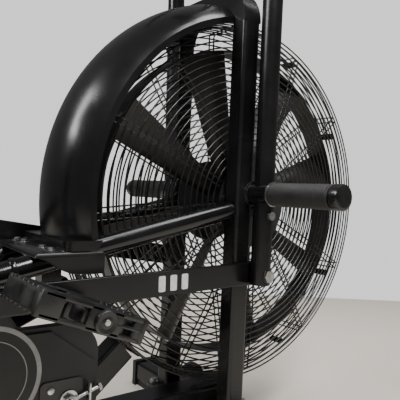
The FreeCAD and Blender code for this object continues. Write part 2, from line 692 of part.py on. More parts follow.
saddle_x0 = collar_x0 - SADDLE_REAR
saddle_x1 = collar_x1 + SADDLE_FRONT
saddle_low = FENDER_FOOT_Z - SADDLE_DROP
saddle_mid = (saddle_x0 + saddle_x1) / 2
saddle = bar(Vector(saddle_mid, 0, saddle_low), Vector(saddle_mid, 0, FENDER_FOOT_Z),
             2 * collar_y + 4, saddle_x1 - saddle_x0, 16.0)
saddle = soften(saddle, 6.0, lambda edge: edge.BoundBox.ZMin > FENDER_FOOT_Z - 0.1)
saddle = saddle.cut(bar(Vector(saddle_mid, 0, saddle_low - 1),
                        Vector(saddle_mid, 0, FENDER_FOOT_Z - 4),
                        2 * collar_y - 4, saddle_x1 - saddle_x0 - 8, 12.0))
for cutter in pair(channel):
    saddle = saddle.cut(cutter)
open_below = [side_points[0] - Vector(0, 0, 14), side_points[1] - Vector(0, 0, 14),
              side_points[2] - Vector(0, 0, 14)]
lower_channel = sweep_round(bent_path(open_below, 300.0), SIDE_R + 0.3)
for cutter in pair(lower_channel):
    saddle = saddle.cut(cutter)

# ---- mast, struts, bearing shells -----------------------------------------------------------------
mast_bore = bar(mast_foot - MAST_UP, mast_head + MAST_UP, MAST_WIDTH - 2 * MAST_WALL,
                MAST_DEPTH - 2 * MAST_WALL, 3.0)
mast = mast_block.cut(mast_bore)
mast = mast.cut(box(-HALF_LENGTH, HALF_LENGTH, -BEAM_WIDTH, BEAM_WIDTH, 0, BEAM_TOP))
pin_at = mast_head - MAST_UP * PIN_DROP
mast_face = pin_at + MAST_OUT * (MAST_DEPTH / 2)
pin_boss = rod(mast_face - MAST_OUT, mast_face + MAST_OUT * PIN_BOSS_LENGTH, PIN_BOSS_R)
mast = mast.fuse(pin_boss.cut(mast_bore))
mast = mast.cut(rod(pin_at, mast_face + MAST_OUT * (PIN_BOSS_LENGTH + 1), PIN_R + RUN_FIT))
save("seat_mast", mast)

strut_head = Vector(PEG_X + STRUT_HEAD[0], 0, PEG_Z + STRUT_HEAD[1])
strut_line = Vector(math.cos(math.radians(STRUT_RISE)), 0, math.sin(math.radians(STRUT_RISE)))
strut_low = strut_head - strut_line * (strut_head.x - mast_foot.x + 60)
strut = tube(strut_low, strut_head, STRUT_WIDTH, STRUT_WIDTH, CORNER_R, TUBE_WALL)
strut_block = bar(strut_low, strut_head, STRUT_WIDTH, STRUT_WIDTH, CORNER_R)
beyond_mast = bar(mast_foot - MAST_OUT * 200, mast_head - MAST_OUT * 200, 4 * MAST_WIDTH,
                  400 + MAST_DEPTH, 1.0)
strut = strut.cut(beyond_mast)
saddle_post = box(strut_head.x - 46, strut_head.x - 16, -14, 14, strut_head.z - 10, FENDER_FOOT_Z - 4)
strut = strut.fuse(saddle_post.cut(strut_block))
save("centre_strut", strut)
saddle = saddle.cut(cage_room)
saddle = max(saddle.Solids, key=lambda solid: solid.Volume)
save("fender_saddle", saddle)

stay_line = Vector(math.cos(math.radians(STAY_ANGLE)), 0, math.sin(math.radians(STAY_ANGLE)))
stay_foot = Vector(PEG_X - STAY_BEHIND, 0, BEAM_TOP) - stay_line * 60
to_fan = Vector(FAN_X, 0, FAN_Z) - stay_foot
past = to_fan.dot(stay_line)
miss = math.sqrt(to_fan.dot(to_fan) - past ** 2)
stay_reach = past - math.sqrt((CAGE_R + WIRE_R + 3) ** 2 - max(miss - STAY_HEIGHT / 2, 0) ** 2)
stay_end = stay_foot + stay_line * stay_reach
over_beam = box(-HALF_LENGTH, HALF_LENGTH, -BEAM_WIDTH, BEAM_WIDTH, BEAM_TOP, PEG_Z)
stay = tube(stay_foot, stay_end, STAY_WIDTH, STAY_HEIGHT, CORNER_R, TUBE_WALL).common(over_beam)
save("cage_stay", stay)

shell_bore = SHELL_R - SHELL_WALL
crank_shell = disc(CRANK_X, CRANK_Z, SHELL_R, SHELL_RIGHT_Y, SHELL_LEFT_Y)
web_plate = box(on_mast(CRANK_Z).x, CRANK_X, -20, 20, CRANK_Z - 14, CRANK_Z + 14)
crank_shell = crank_shell.fuse(web_plate)
crank_shell = crank_shell.cut(disc(CRANK_X, CRANK_Z, shell_bore, SHELL_RIGHT_Y - 1, SHELL_LEFT_Y + 1))
crank_shell = crank_shell.cut(mast_block)
jack_shell = disc(JACK_X, JACK_Z, SHELL_R, SHELL_RIGHT_Y, JACK_SHELL_LEFT_Y)
jack_post = box(JACK_X - 16, JACK_X + 16, -12, 12, BEAM_TOP, JACK_Z)
jack_shell = jack_shell.fuse(jack_post)
jack_shell = jack_shell.cut(disc(JACK_X, JACK_Z, shell_bore, SHELL_RIGHT_Y - 1, JACK_SHELL_LEFT_Y + 1))
save("bearing_shells", crank_shell, jack_shell)

for x, z, shaft, left_y in ((CRANK_X, CRANK_Z, AXLE_R, SHELL_LEFT_Y),
                            (JACK_X, JACK_Z, JACK_R, JACK_SHELL_LEFT_Y)):
    bearings.append(ring(x, z, shell_bore, shaft + RUN_FIT, SHELL_RIGHT_Y, SHELL_RIGHT_Y + 12))
    bearings.append(ring(x, z, shell_bore, shaft + RUN_FIT, left_y - 12, left_y))
save("bearings", *bearings)

# ---- drive: chainring, chain, jackshaft, belt, cover, tensioner ------------------------------------
chain_y0 = CHAIN_Y - CHAIN_WIDTH / 2
chain_y1 = CHAIN_Y + CHAIN_WIDTH / 2
chain_loop = strap(CRANK_X, CRANK_Z, CHAINRING_R + CHAIN_THICK, JACK_X, JACK_Z,
                   SPROCKET_R + CHAIN_THICK, chain_y0, chain_y1)
chain_loop = chain_loop.cut(strap(CRANK_X, CRANK_Z, CHAINRING_R + 0.3, JACK_X, JACK_Z,
                                  SPROCKET_R + 0.3, chain_y0 - 1, chain_y1 + 1))
save("drive_chain", chain_loop)
chainring = ring(CRANK_X, CRANK_Z, CHAINRING_R, AXLE_R, chain_y0 + 1, chain_y1 - 1)
for i in range(5):
    hole_x, hole_z = on_circle(CRANK_X, CRANK_Z, CHAINRING_R * 0.6, 72 * i + 20)
    chainring = chainring.cut(disc(hole_x, hole_z, 9.0, chain_y0, chain_y1))
save("chainring", chainring)

jack_left = BELT_OUTER_Y + 2
shaft = disc(JACK_X, JACK_Z, JACK_R, chain_y0 - 0.5, jack_left)
sprocket = ring(JACK_X, JACK_Z, SPROCKET_R, JACK_R, chain_y0 + 1, chain_y1 - 1)
jack_pulley = ring(JACK_X, JACK_Z, JACK_PULLEY_R, JACK_R, BELT_INNER_Y, BELT_OUTER_Y)
save("jackshaft", shaft, sprocket, jack_pulley)
belt = strap(JACK_X, JACK_Z, JACK_PULLEY_R + BELT_THICK, FAN_X, FAN_Z, FAN_PULLEY_R + BELT_THICK,
             BELT_INNER_Y + 1, BELT_OUTER_Y - 1)
belt = belt.cut(strap(JACK_X, JACK_Z, JACK_PULLEY_R + 0.3, FAN_X, FAN_Z, FAN_PULLEY_R + 0.3,
                      BELT_INNER_Y, BELT_OUTER_Y))
save("fan_belt", belt)

# The cover: a tray with a rounded front corner, and a flat panel screwed on its face.
cover_front = PEG_X - COVER_FRONT
cover_rear = CRANK_X - COVER_WRAP
cover_low = BEAM_TOP + 14
cover_top = PEG_Z + COVER_SHOULDER[1]
cover_inner_y = -COVER_OUTER_Y + COVER_DEPTH
shoulder_x = PEG_X + COVER_SHOULDER[0]


def cover_blank(inset, corner, y0, y1):
    """The cover's outline: round the crank, down to the shoulder, along, and down to the beam."""
    wrap = disc(CRANK_X, CRANK_Z, COVER_WRAP - inset, y0, y1)
    flank = outline([(cover_rear + inset, CRANK_Z), (cover_rear + inset, cover_low + inset),
                     (shoulder_x, cover_low + inset), (shoulder_x, cover_top - inset),
                     (CRANK_X + COVER_WRAP - inset, CRANK_Z)], y0, y1)
    front = bar(Vector((shoulder_x + cover_front - inset) / 2 - 20, y0, (cover_low + cover_top) / 2),
                Vector((shoulder_x + cover_front - inset) / 2 - 20, y1, (cover_low + cover_top) / 2),
                cover_front - inset - shoulder_x + 40, cover_top - cover_low - 2 * inset, corner,
                Vector(1, 0, 0))
    return wrap.fuse(flank).fuse(front).removeSplitter()


tray_face = -COVER_OUTER_Y + PANEL_THICK
tray = cover_blank(0, 46.0, tray_face, cover_inner_y)
tray = tray.cut(cover_blank(COVER_THICK, 43.0, tray_face + COVER_THICK, cover_inner_y + 1))
axle_hole = disc(CRANK_X, CRANK_Z, AXLE_R + 6, -COVER_OUTER_Y - 1, 0)
notch = sweep_round(bent_path(side_points, 300.0), SIDE_R + 2.0)
save("chain_cover", tray.cut(axle_hole).cut(notch))
(chamfer_x0, chamfer_z0), (chamfer_x1, chamfer_z1) = PANEL_CHAMFER
panel = cover_blank(6.0, 10.0, -COVER_OUTER_Y, tray_face)
panel = panel.cut(outline([(PEG_X + chamfer_x0, PEG_Z + chamfer_z0), (PEG_X + chamfer_x1, PEG_Z + chamfer_z1),
                           (cover_front + 20, PEG_Z + chamfer_z1), (cover_front + 20, cover_top + 20),
                           (PEG_X + chamfer_x0, cover_top + 20)], -COVER_OUTER_Y - 1, tray_face + 1))
save("cover_panel", panel.cut(axle_hole).cut(notch))

nut_x = PEG_X + TENSIONER[0]
nut_z = PEG_Z + TENSIONER[1]
tension_y = -COVER_OUTER_Y - 2.5
tension_plate = bar(Vector(nut_x - 10, tension_y, nut_z + 6), Vector(nut_x - 10, -COVER_OUTER_Y, nut_z + 6),
                    62.0, 46.0, 7.0, Vector(1, 0, 0))
tension_nut = hex_nut(nut_x, nut_z, 9, 5.0, tension_y - 7, tension_y)
tension_stud = disc(nut_x, nut_z, 5.0, tension_y - 10, tension_y)
eye_start = Vector(nut_x + 8.5, tension_y - 4, nut_z + 1)
eye_end = Vector(cover_front, tension_y - 4, nut_z + 12)
eye_rod = rod(eye_start, eye_end, 2.5)
stop_plate = box(cover_front - 21, cover_front - 18, tension_y - 13, tension_y, nut_z - 4, nut_z + 22)
stop_plate = stop_plate.cut(rod(eye_start, eye_end, 2.5))
plate_screw = disc(nut_x - 26, nut_z + 17, 5.0, tension_y - 2, tension_y)
save("tensioner", tension_plate, tension_nut, tension_stud, eye_rod, stop_plate, plate_screw)

# ---- crank: axle, inner webs, outer arms with their pins, spindles, pedals -------------------------
save("crank_axle", disc(CRANK_X, CRANK_Z, AXLE_R, -WEB_Y1, WEB_Y1))


def crank_points(side):
    """Where this side's link pin and pedal spindle are.  The left is half a turn from the right."""
    turn = 0 if side < 0 else 180
    pin = on_circle(CRANK_X, CRANK_Z, LINK_THROW, LINK_PIN_ANGLE + turn)
    pedal = on_circle(CRANK_X, CRANK_Z, CRANK_LENGTH, CRANK_ANGLE + turn)
    return pin, pedal


webs = []
arms = []
spindles = []
for side in SIDES:
    (pin_x, pin_z), (pedal_x, pedal_z) = crank_points(side)
    crank_web = strap(CRANK_X, CRANK_Z, WEB_R, pin_x, pin_z, WEB_R - 3, side * WEB_Y0, side * WEB_Y1)
    crank_web = crank_web.cut(disc(CRANK_X, CRANK_Z, AXLE_R, side * (WEB_Y0 - 1), side * (WEB_Y1 + 1)))
    webs.append(crank_web.cut(disc(pin_x, pin_z, LINK_PIN_R, side * (WEB_Y0 - 1), side * (WEB_Y1 + 1))))
    arm = strap(pin_x, pin_z, ARM_R, pedal_x, pedal_z, ARM_R - 2, side * ARM_Y0, side * ARM_Y1)
    arm = soften(arm, 3.0, lambda edge: abs(abs(edge.BoundBox.YMax) - ARM_Y1) < 0.1
                 and edge.BoundBox.YLength < 0.1)
    arm = arm.fuse(disc(pin_x, pin_z, LINK_PIN_R, side * WEB_Y0, side * ARM_Y0))
    hole = disc(pedal_x, pedal_z, SPINDLE_R, side * (ARM_Y0 - 1), side * (ARM_Y1 + 1))
    arms.append(arm.cut(hole))
    spindles.append(disc(pedal_x, pedal_z, SPINDLE_R, side * ARM_Y0, side * (PEDAL_Y1 - 6)))
save("crank_webs", *webs)
save("crank_arms", *arms)
save("pedal_spindles", *spindles)


def pedal(side):
    """A resin platform: front and rear bars, end plates and ribs round the spindle's barrel."""
    x, z = crank_points(side)[1]
    y0 = PEDAL_Y0
    y1 = PEDAL_Y1
    high = PEDAL_THICK / 2
    bar_depth = 20.0
    body = disc(x, z, PEDAL_HUB_R, y0, y1)
    for x0, x1 in ((x - PEDAL_REAR, x - PEDAL_REAR + bar_depth),
                   (x + PEDAL_FRONT - bar_depth, x + PEDAL_FRONT)):
        block = box(x0, x1, y0 + 6, y1 - 6, z - high, z + high)
        body = body.fuse(soften(block, 5.0, along_y))
    for rib_y in (y0 + 6, (y0 + y1) / 2 - 4, y1 - 14):
        body = body.fuse(box(x - PEDAL_REAR + 8, x + PEDAL_FRONT - 8, rib_y, rib_y + 8,
                             z - high + 3, z + high - 3))
    body = body.cut(disc(x, z, SPINDLE_R + RUN_FIT, y0 - 1, y1 - 5))
    body.rotate(Vector(x, 0, z), Y_AXIS, PEDAL_TILT)
    return body if side > 0 else mirrored(body)


save("pedal_right", pedal(-1))
save("pedal_left", pedal(1))


# ---- pivot shafts, pegs, levers, links ---------------------------------------------------------------
SLEEVE_HALF = LEVER_R + 2
sleeve_in = LEVER_Y - SLEEVE_HALF
sleeve_out = LEVER_Y + SLEEVE_HALF
grip_in = sleeve_out + FACE_GAP + 4
grip_out = HALF_WIDTH - PEG_CAP_LENGTH - PEG_GROOVE
pivot = disc(PEG_X, PEG_Z, PIVOT_R, -(HALF_WIDTH - 6), -LEG_OUTER_Y)
pivot = pivot.fuse(disc(PEG_X, PEG_Z, BOSS_R, -(sleeve_in - FACE_GAP), -LEG_OUTER_Y))
pivot = pivot.fuse(disc(PEG_X, PEG_Z, BOSS_R, -grip_in, -(sleeve_out + FACE_GAP)))
save("pivot_shafts", *pair(pivot.removeSplitter()))
peg_grip = ring(PEG_X, PEG_Z, PEG_GRIP_R, PIVOT_R, -grip_out, -grip_in)
save("foot_peg_grips", *pair(peg_grip))
peg_cap = disc(PEG_X, PEG_Z, PEG_CAP_R, -HALF_WIDTH, -(HALF_WIDTH - PEG_CAP_LENGTH))
peg_cap = soften(peg_cap, 3.0, lambda edge: edge.BoundBox.YMax < -HALF_WIDTH + 0.1)
peg_cap = peg_cap.cut(disc(PEG_X, PEG_Z, PIVOT_R, -(HALF_WIDTH - 6), 0))
save("foot_peg_caps", *pair(peg_cap))

bush_r = PIVOT_R + BUSH_WALL
bush = ring(PEG_X, PEG_Z, bush_r, PIVOT_R, -sleeve_out, -sleeve_in)
save("lever_bushes", *pair(bush))


def lever_lean(side):
    """How far the lever stands from upright, in degrees, with its foot on the link's bolt."""
    (right_x, right_z), _ = crank_points(-1)
    length = math.hypot(PEG_X - right_x, LINK_DROP_Z - right_z)
    pin_x, pin_z = crank_points(side)[0]

    def miss_by(angle):
        foot_x = PEG_X + LOWER_ARM * math.sin(angle)
        foot_z = PEG_Z - LOWER_ARM * math.cos(angle)
        return math.hypot(foot_x - pin_x, foot_z - pin_z) - length

    low = -0.5
    high = 0.5
    for _ in range(50):
        middle = (low + high) / 2
        low, high = (low, middle) if miss_by(middle) > 0 else (middle, high)
    return math.degrees((low + high) / 2)


def lever_foot(side):
    lean = math.radians(lever_lean(side))
    return PEG_X + LOWER_ARM * math.sin(lean), PEG_Z - LOWER_ARM * math.cos(lean)


lever_points = [Vector(PEG_X, -LEVER_Y, LINK_DROP_Z - 16), Vector(PEG_X, -LEVER_Y, LEVER_STRAIGHT_Z),
                Vector(PEG_X - HANDLE_BACK[0], -LEVER_Y - HANDLE_OUT[0], HANDLE_Z[0]),
                Vector(PEG_X - HANDLE_BACK[1], -LEVER_Y - HANDLE_OUT[1], HANDLE_Z[1])]
lever = bent_tube(lever_points, LEVER_R, LEVER_WALL, HANDLE_BEND_R)
lever = lever.fuse(disc(PEG_X, PEG_Z, bush_r + RUN_FIT + SLEEVE_WALL, -sleeve_out, -sleeve_in))
lever = lever.cut(disc(PEG_X, PEG_Z, bush_r + RUN_FIT, -sleeve_out - 1, -sleeve_in + 1))
lever = lever.cut(disc(PEG_X, LINK_DROP_Z, LINK_BOLT_R, -LEVER_OUTER_Y - 1, -LEVER_Y + LEVER_R + 1))
lock_z = PEG_Z - 36
lever = lever.cut(disc(PEG_X, lock_z, 4.0, -LEVER_OUTER_Y - 1, -LEVER_Y))
foot_bolt = disc(PEG_X, LINK_DROP_Z, LINK_BOLT_R, -LEVER_OUTER_Y - 2, -LEVER_Y + LEVER_R)
foot_bolt = foot_bolt.fuse(hex_nut(PEG_X, LINK_DROP_Z, 11, 1.0, -LEVER_OUTER_Y - 6, -LEVER_OUTER_Y))
lock_bolt = disc(PEG_X, lock_z, 4.0, -LEVER_OUTER_Y, -LEVER_Y - LEVER_R + LEVER_WALL)
lock_bolt = lock_bolt.fuse(disc(PEG_X, lock_z, 7.0, -LEVER_OUTER_Y - 5, -LEVER_OUTER_Y))
grip_top = lever_points[3]
grip_dir = (lever_points[2] - grip_top).normalize()
grip_path_start = grip_top + grip_dir * GRIP_LENGTH
grip = rod(grip_path_start, grip_top - grip_dir * 5, LEVER_R + GRIP_THICK)
grip = grip.cut(rod(grip_path_start + grip_dir, grip_top, LEVER_R))
for side, side_name in zip(SIDES, ("right", "left")):
    for name, shape in (("lever", lever), ("lever_bolts", Part.Compound([foot_bolt, lock_bolt])),
                        ("handle_grip", grip)):
        piece = shape.copy() if side < 0 else mirrored(shape)
        piece.rotate(Vector(PEG_X, 0, PEG_Z), Vector(0, -1, 0), lever_lean(side))
        save(name + "_" + side_name, piece)


def link(side):
    """A flat bar with an eye at the crank pin and a bolted end at the lever's foot."""
    pin_x, pin_z = crank_points(side)[0]
    foot_x, foot_z = lever_foot(side)
    y0, y1 = sorted((side * LINK_Y0, side * LINK_Y1))
    middle = (y0 + y1) / 2
    piece = bar(Vector(pin_x, middle, pin_z), Vector(foot_x, middle, foot_z),
                LINK_THICK, LINK_HEIGHT - 2, 1.5)
    piece = piece.fuse(disc(pin_x, pin_z, EYE_R, y0, y1)).fuse(disc(foot_x, foot_z, EYE_R, y0, y1))
    return piece.cut(disc(pin_x, pin_z, LINK_PIN_R + RUN_FIT, y0 - 1, y1 + 1)).removeSplitter()


save("link_right", link(-1))
save("link_left", link(1))

# ---- seat post, rail, carriage, cushion, pop-pins ----------------------------------------------------
rail_top = SEAT_Z - CARRIAGE_WALL - FACE_GAP
rail_under = rail_top - RAIL_HEIGHT
post_low = mast_head - MAST_UP * POST_INSERT
post_high = on_mast(rail_under)
post_depth = MAST_DEPTH - 2 * MAST_WALL - 2 * POST_GAP
post_width = MAST_WIDTH - 2 * MAST_WALL - 2 * POST_GAP
post = tube(post_low, post_high + MAST_UP * MAST_DEPTH, post_width, post_depth, 2.5, POST_WALL)
for i in range(-4, 5):
    hole_at = pin_at + MAST_UP * (POST_HOLE_PITCH * i)
    post = post.cut(rod(hole_at, hole_at + MAST_OUT * MAST_DEPTH, PIN_HOLE_R))
carriage_top = SEAT_Z
rail_mid_x = post_high.x
rail_z = rail_top - RAIL_HEIGHT / 2
rail = tube(Vector(rail_mid_x - RAIL_LENGTH / 2, 0, rail_z), Vector(rail_mid_x + RAIL_LENGTH / 2, 0, rail_z),
            RAIL_WIDTH, RAIL_HEIGHT, 3.0, TUBE_WALL)
under_rail = box(-HALF_LENGTH, HALF_LENGTH, -HALF_WIDTH, HALF_WIDTH, 0, rail_under)
post = post.common(under_rail)
side_pin_y = -RAIL_WIDTH / 2
for i in range(-3, 4):
    hole_x = rail_mid_x + RAIL_HOLE_PITCH * i
    rail = rail.cut(disc(hole_x, rail_z, PIN_HOLE_R, side_pin_y - 1, 0))
save("seat_post", post.fuse(rail))

inner = RAIL_WIDTH / 2 + FACE_GAP
outer = inner + CARRIAGE_WALL
skirt = RAIL_HEIGHT - 6
carriage = box(rail_mid_x - CARRIAGE_LENGTH / 2, rail_mid_x + CARRIAGE_LENGTH / 2, -outer, outer,
               rail_top - skirt, carriage_top)
carriage = carriage.cut(box(-HALF_LENGTH, 0, -inner, inner, 0, rail_top + FACE_GAP))
carriage = carriage.fuse(box(rail_mid_x - SEAT_PLATE[0] / 2, rail_mid_x + SEAT_PLATE[0] / 2,
                             -SEAT_PLATE[1] / 2, SEAT_PLATE[1] / 2,
                             carriage_top - CARRIAGE_WALL, carriage_top))
boss = disc(rail_mid_x, rail_z, PIN_BOSS_R - 1, -outer - CARRIAGE_BOSS, -inner)
boss = boss.common(box(-HALF_LENGTH, 0, -HALF_WIDTH, 0, rail_top - skirt - 3, carriage_top))
carriage = carriage.fuse(boss)
carriage = carriage.cut(disc(rail_mid_x, rail_z, PIN_R + RUN_FIT, -outer - CARRIAGE_BOSS - 1, 0))
save("seat_carriage", carriage)


def pop_pin(tip, outward, shank, knob_length, knob_r):
    """A sprung pin with a round knob, drawn outwards to let the seat slide."""
    knob_start = tip + outward * shank
    stem = rod(tip, knob_start + outward, PIN_R)
    knob = rod(knob_start, knob_start + outward * knob_length, knob_r)
    knob = soften(knob, 4.0, lambda edge: edge.isClosed())
    return stem.fuse(knob)


pin_tip = pin_at + MAST_OUT * (post_depth / 2 - POST_WALL - 2 + PIN_DRAW)
pin_shank = MAST_DEPTH / 2 - post_depth / 2 + POST_WALL + 2 + PIN_BOSS_LENGTH + FACE_GAP
save("post_pin", pop_pin(pin_tip, MAST_OUT, pin_shank, 22.0, KNOB_R[0]))
carriage_tip = Vector(rail_mid_x, -RAIL_WIDTH / 2 + TUBE_WALL + 2 - PIN_DRAW, rail_z)
carriage_shank = outer + CARRIAGE_BOSS + FACE_GAP + carriage_tip.y + PIN_DRAW
save("carriage_pin", pop_pin(carriage_tip, Vector(0, -1, 0), carriage_shank, 20.0, KNOB_R[1]))

seat_mid = rail_mid_x - 6
seat_back = seat_mid - SEAT_LENGTH / 2
seat_front = seat_mid + SEAT_LENGTH / 2
rear_half = SEAT_REAR_WIDTH / 2
nose_half = SEAT_NOSE_WIDTH / 2
seat_edges = [
    Part.Arc(Vector(seat_back + 30, -rear_half, SEAT_Z), Vector(seat_back, 0, SEAT_Z),
             Vector(seat_back + 30, rear_half, SEAT_Z)).toShape(),
    Part.makeLine(Vector(seat_back + 30, rear_half, SEAT_Z), Vector(seat_back + 90, rear_half, SEAT_Z)),
    Part.makeLine(Vector(seat_back + 90, rear_half, SEAT_Z), Vector(seat_front - 40, nose_half, SEAT_Z)),
    Part.Arc(Vector(seat_front - 40, nose_half, SEAT_Z), Vector(seat_front, 0, SEAT_Z),
             Vector(seat_front - 40, -nose_half, SEAT_Z)).toShape(),
    Part.makeLine(Vector(seat_front - 40, -nose_half, SEAT_Z), Vector(seat_back + 90, -rear_half, SEAT_Z)),
    Part.makeLine(Vector(seat_back + 90, -rear_half, SEAT_Z), Vector(seat_back + 30, -rear_half, SEAT_Z))]
cushion = Part.Face(Part.Wire(seat_edges)).extrude(Vector(0, 0, SEAT_THICK))
save("seat_cushion", soften(cushion, 14.0, lambda edge: edge.BoundBox.ZMin > SEAT_Z + SEAT_THICK - 0.1))

# ---- console ---------------------------------------------------------------------------------------
stem_foot = Vector(FORK_X, 0, BRIDGE_Z + LEG_WIDTH / 2 - 0.5)
stem_head = Vector(PEG_X + STEM_TOP[0], 0, STEM_TOP[1])
stem = sweep_round(bent_path([stem_foot, Vector(FORK_X, 0, BRIDGE_Z + 130), stem_head], 120.0), STEM_R)
stem_bore = sweep_round(bent_path([stem_foot - Vector(0, 0, 1), Vector(FORK_X, 0, BRIDGE_Z + 130), stem_head],
                                  120.0), STEM_R - TUBE_WALL)
stem = stem.cut(stem_bore).cut(arch(LEG_WIDTH / 2, LEG_DEPTH))
knuckle = disc(stem_head.x, stem_head.z, HINGE_R, -HINGE_HALF, HINGE_HALF)
stem = stem.fuse(knuckle).cut(disc(stem_head.x, stem_head.z, 4 + RUN_FIT, -HINGE_HALF - 1, HINGE_HALF + 1))
save("console_stem", stem.Solids[0])

tilt = math.radians(CONSOLE_TILT)
face_out = Vector(-math.cos(tilt), 0, math.sin(tilt))
face_up = Vector(math.sin(tilt), 0, math.cos(tilt))
console_back = stem_head - face_out * -(HINGE_R + 6)
console_mid = console_back + face_up * (CONSOLE_HEIGHT / 2 - 10)
housing = bar(console_mid, console_mid + face_out * CONSOLE_DEPTH, CONSOLE_WIDTH, CONSOLE_HEIGHT, 18.0)
for lug_side in SIDES:
    y0, y1 = sorted((lug_side * (HINGE_HALF + FACE_GAP), lug_side * (HINGE_HALF + FACE_GAP + 6)))
    lug = disc(stem_head.x, stem_head.z, HINGE_R, y0, y1)
    reach = stem_head + face_out * (HINGE_R + 8)
    lug = lug.fuse(bar(Vector(stem_head.x, (y0 + y1) / 2, stem_head.z),
                       Vector(reach.x, (y0 + y1) / 2, reach.z),
                       6.0, 2 * HINGE_R, 1.0))
    housing = housing.fuse(lug)
housing = housing.fuse(disc(stem_head.x, stem_head.z, 4.0, -HINGE_HALF - 6, HINGE_HALF + 6))
key_row = console_mid + face_out * CONSOLE_DEPTH - face_up * (CONSOLE_HEIGHT / 2 - 24)
keys = {}
for name, key_y in (("left", KEY_SPACING / 2), ("right", -KEY_SPACING / 2)):
    centre = key_row + Vector(0, key_y, 0)
    well = rod(centre - face_out * (KEY_DEPTH + KEY_TRAVEL), centre + face_out, KEY_R + 0.4)
    housing = housing.cut(well)
    keys[name] = rod(centre - face_out * KEY_DEPTH, centre + face_out * 2.5, KEY_R)
save("console_housing", housing)
for name, key in keys.items():
    save("key_" + name, key)
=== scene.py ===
import math

import bmesh
import bpy
from mathutils import Matrix, Vector


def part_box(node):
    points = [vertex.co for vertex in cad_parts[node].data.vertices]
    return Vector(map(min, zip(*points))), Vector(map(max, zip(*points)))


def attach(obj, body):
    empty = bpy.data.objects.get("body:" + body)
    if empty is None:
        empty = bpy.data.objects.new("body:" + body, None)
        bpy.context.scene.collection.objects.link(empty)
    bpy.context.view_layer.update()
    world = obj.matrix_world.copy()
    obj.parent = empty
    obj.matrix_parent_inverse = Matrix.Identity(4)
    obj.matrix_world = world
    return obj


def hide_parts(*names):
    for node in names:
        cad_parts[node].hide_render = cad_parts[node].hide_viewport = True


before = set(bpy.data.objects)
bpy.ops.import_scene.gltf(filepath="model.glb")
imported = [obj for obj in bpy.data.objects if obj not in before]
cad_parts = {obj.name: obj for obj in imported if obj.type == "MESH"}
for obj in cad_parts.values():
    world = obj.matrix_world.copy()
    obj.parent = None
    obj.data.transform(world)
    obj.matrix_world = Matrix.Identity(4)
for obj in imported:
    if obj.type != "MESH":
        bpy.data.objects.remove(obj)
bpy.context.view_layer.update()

# ---- welded frame ---------------------------------------------------------------------------
# Box and round steel tube, welded up, blasted and powder coated satin black.  The coat has a
# faint orange peel, fine settled dust and rubbed, shinier patches where hands and rags go.

SIDES = (("right", -1), ("left", 1))
UP = Vector((0, 0, 1))
ACROSS = Vector((0, 1, 0))


def box_middle(name):
    low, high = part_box(name)
    return (Vector(low) + Vector(high)) / 2


def worn_finish_group():
    """Colour, roughness and height of a coated surface with dust, rubbed patches and grain."""
    group = bpy.data.node_groups.new("worn finish", "ShaderNodeTree")
    face = group.interface
    face.new_socket("Vector", in_out="INPUT", socket_type="NodeSocketVector")
    face.new_socket("Clean", in_out="INPUT", socket_type="NodeSocketColor")
    face.new_socket("Dusty", in_out="INPUT", socket_type="NodeSocketColor")
    for name in ("Patch scale", "Grain scale", "Rubbed", "Dull"):
        face.new_socket(name, in_out="INPUT", socket_type="NodeSocketFloat")
    face.new_socket("Color", in_out="OUTPUT", socket_type="NodeSocketColor")
    face.new_socket("Roughness", in_out="OUTPUT", socket_type="NodeSocketFloat")
    face.new_socket("Height", in_out="OUTPUT", socket_type="NodeSocketFloat")
    tree = group.nodes
    inside = tree.new("NodeGroupInput").outputs
    outside = tree.new("NodeGroupOutput").inputs
    patches = tree.new("ShaderNodeTexNoise")
    patches.inputs["Detail"].default_value = 5.0
    patches.inputs["Roughness"].default_value = 0.6
    grain = tree.new("ShaderNodeTexNoise")
    grain.inputs["Detail"].default_value = 2.0
    specks = tree.new("ShaderNodeTexVoronoi")
    spread = tree.new("ShaderNodeMapRange")
    spread.inputs["From Min"].default_value = 0.35
    spread.inputs["From Max"].default_value = 0.72
    speck_mask = tree.new("ShaderNodeMapRange")
    speck_mask.inputs["From Min"].default_value = 0.10
    speck_mask.inputs["From Max"].default_value = 0.02
    speck_mask.inputs["To Max"].default_value = 0.5
    cover = tree.new("ShaderNodeMath")
    cover.operation = "MAXIMUM"
    colour = tree.new("ShaderNodeMix")
    colour.data_type = "RGBA"
    shine = tree.new("ShaderNodeMapRange")
    link = group.links.new
    for texture, scale in ((patches, "Patch scale"), (grain, "Grain scale"), (specks, "Patch scale")):
        link(inside["Vector"], texture.inputs["Vector"])
        link(inside[scale], texture.inputs["Scale"])
    link(patches.outputs["Fac"], spread.inputs["Value"])
    link(specks.outputs["Distance"], speck_mask.inputs["Value"])
    link(spread.outputs["Result"], cover.inputs[0])
    link(speck_mask.outputs["Result"], cover.inputs[1])
    link(cover.outputs["Value"], colour.inputs["Factor"])
    link(inside["Clean"], colour.inputs["A"])
    link(inside["Dusty"], colour.inputs["B"])
    link(spread.outputs["Result"], shine.inputs["Value"])
    link(inside["Rubbed"], shine.inputs["To Min"])
    link(inside["Dull"], shine.inputs["To Max"])
    link(colour.outputs["Result"], outside["Color"])
    link(shine.outputs["Result"], outside["Roughness"])
    link(grain.outputs["Fac"], outside["Height"])
    return group


worn_finish = worn_finish_group()


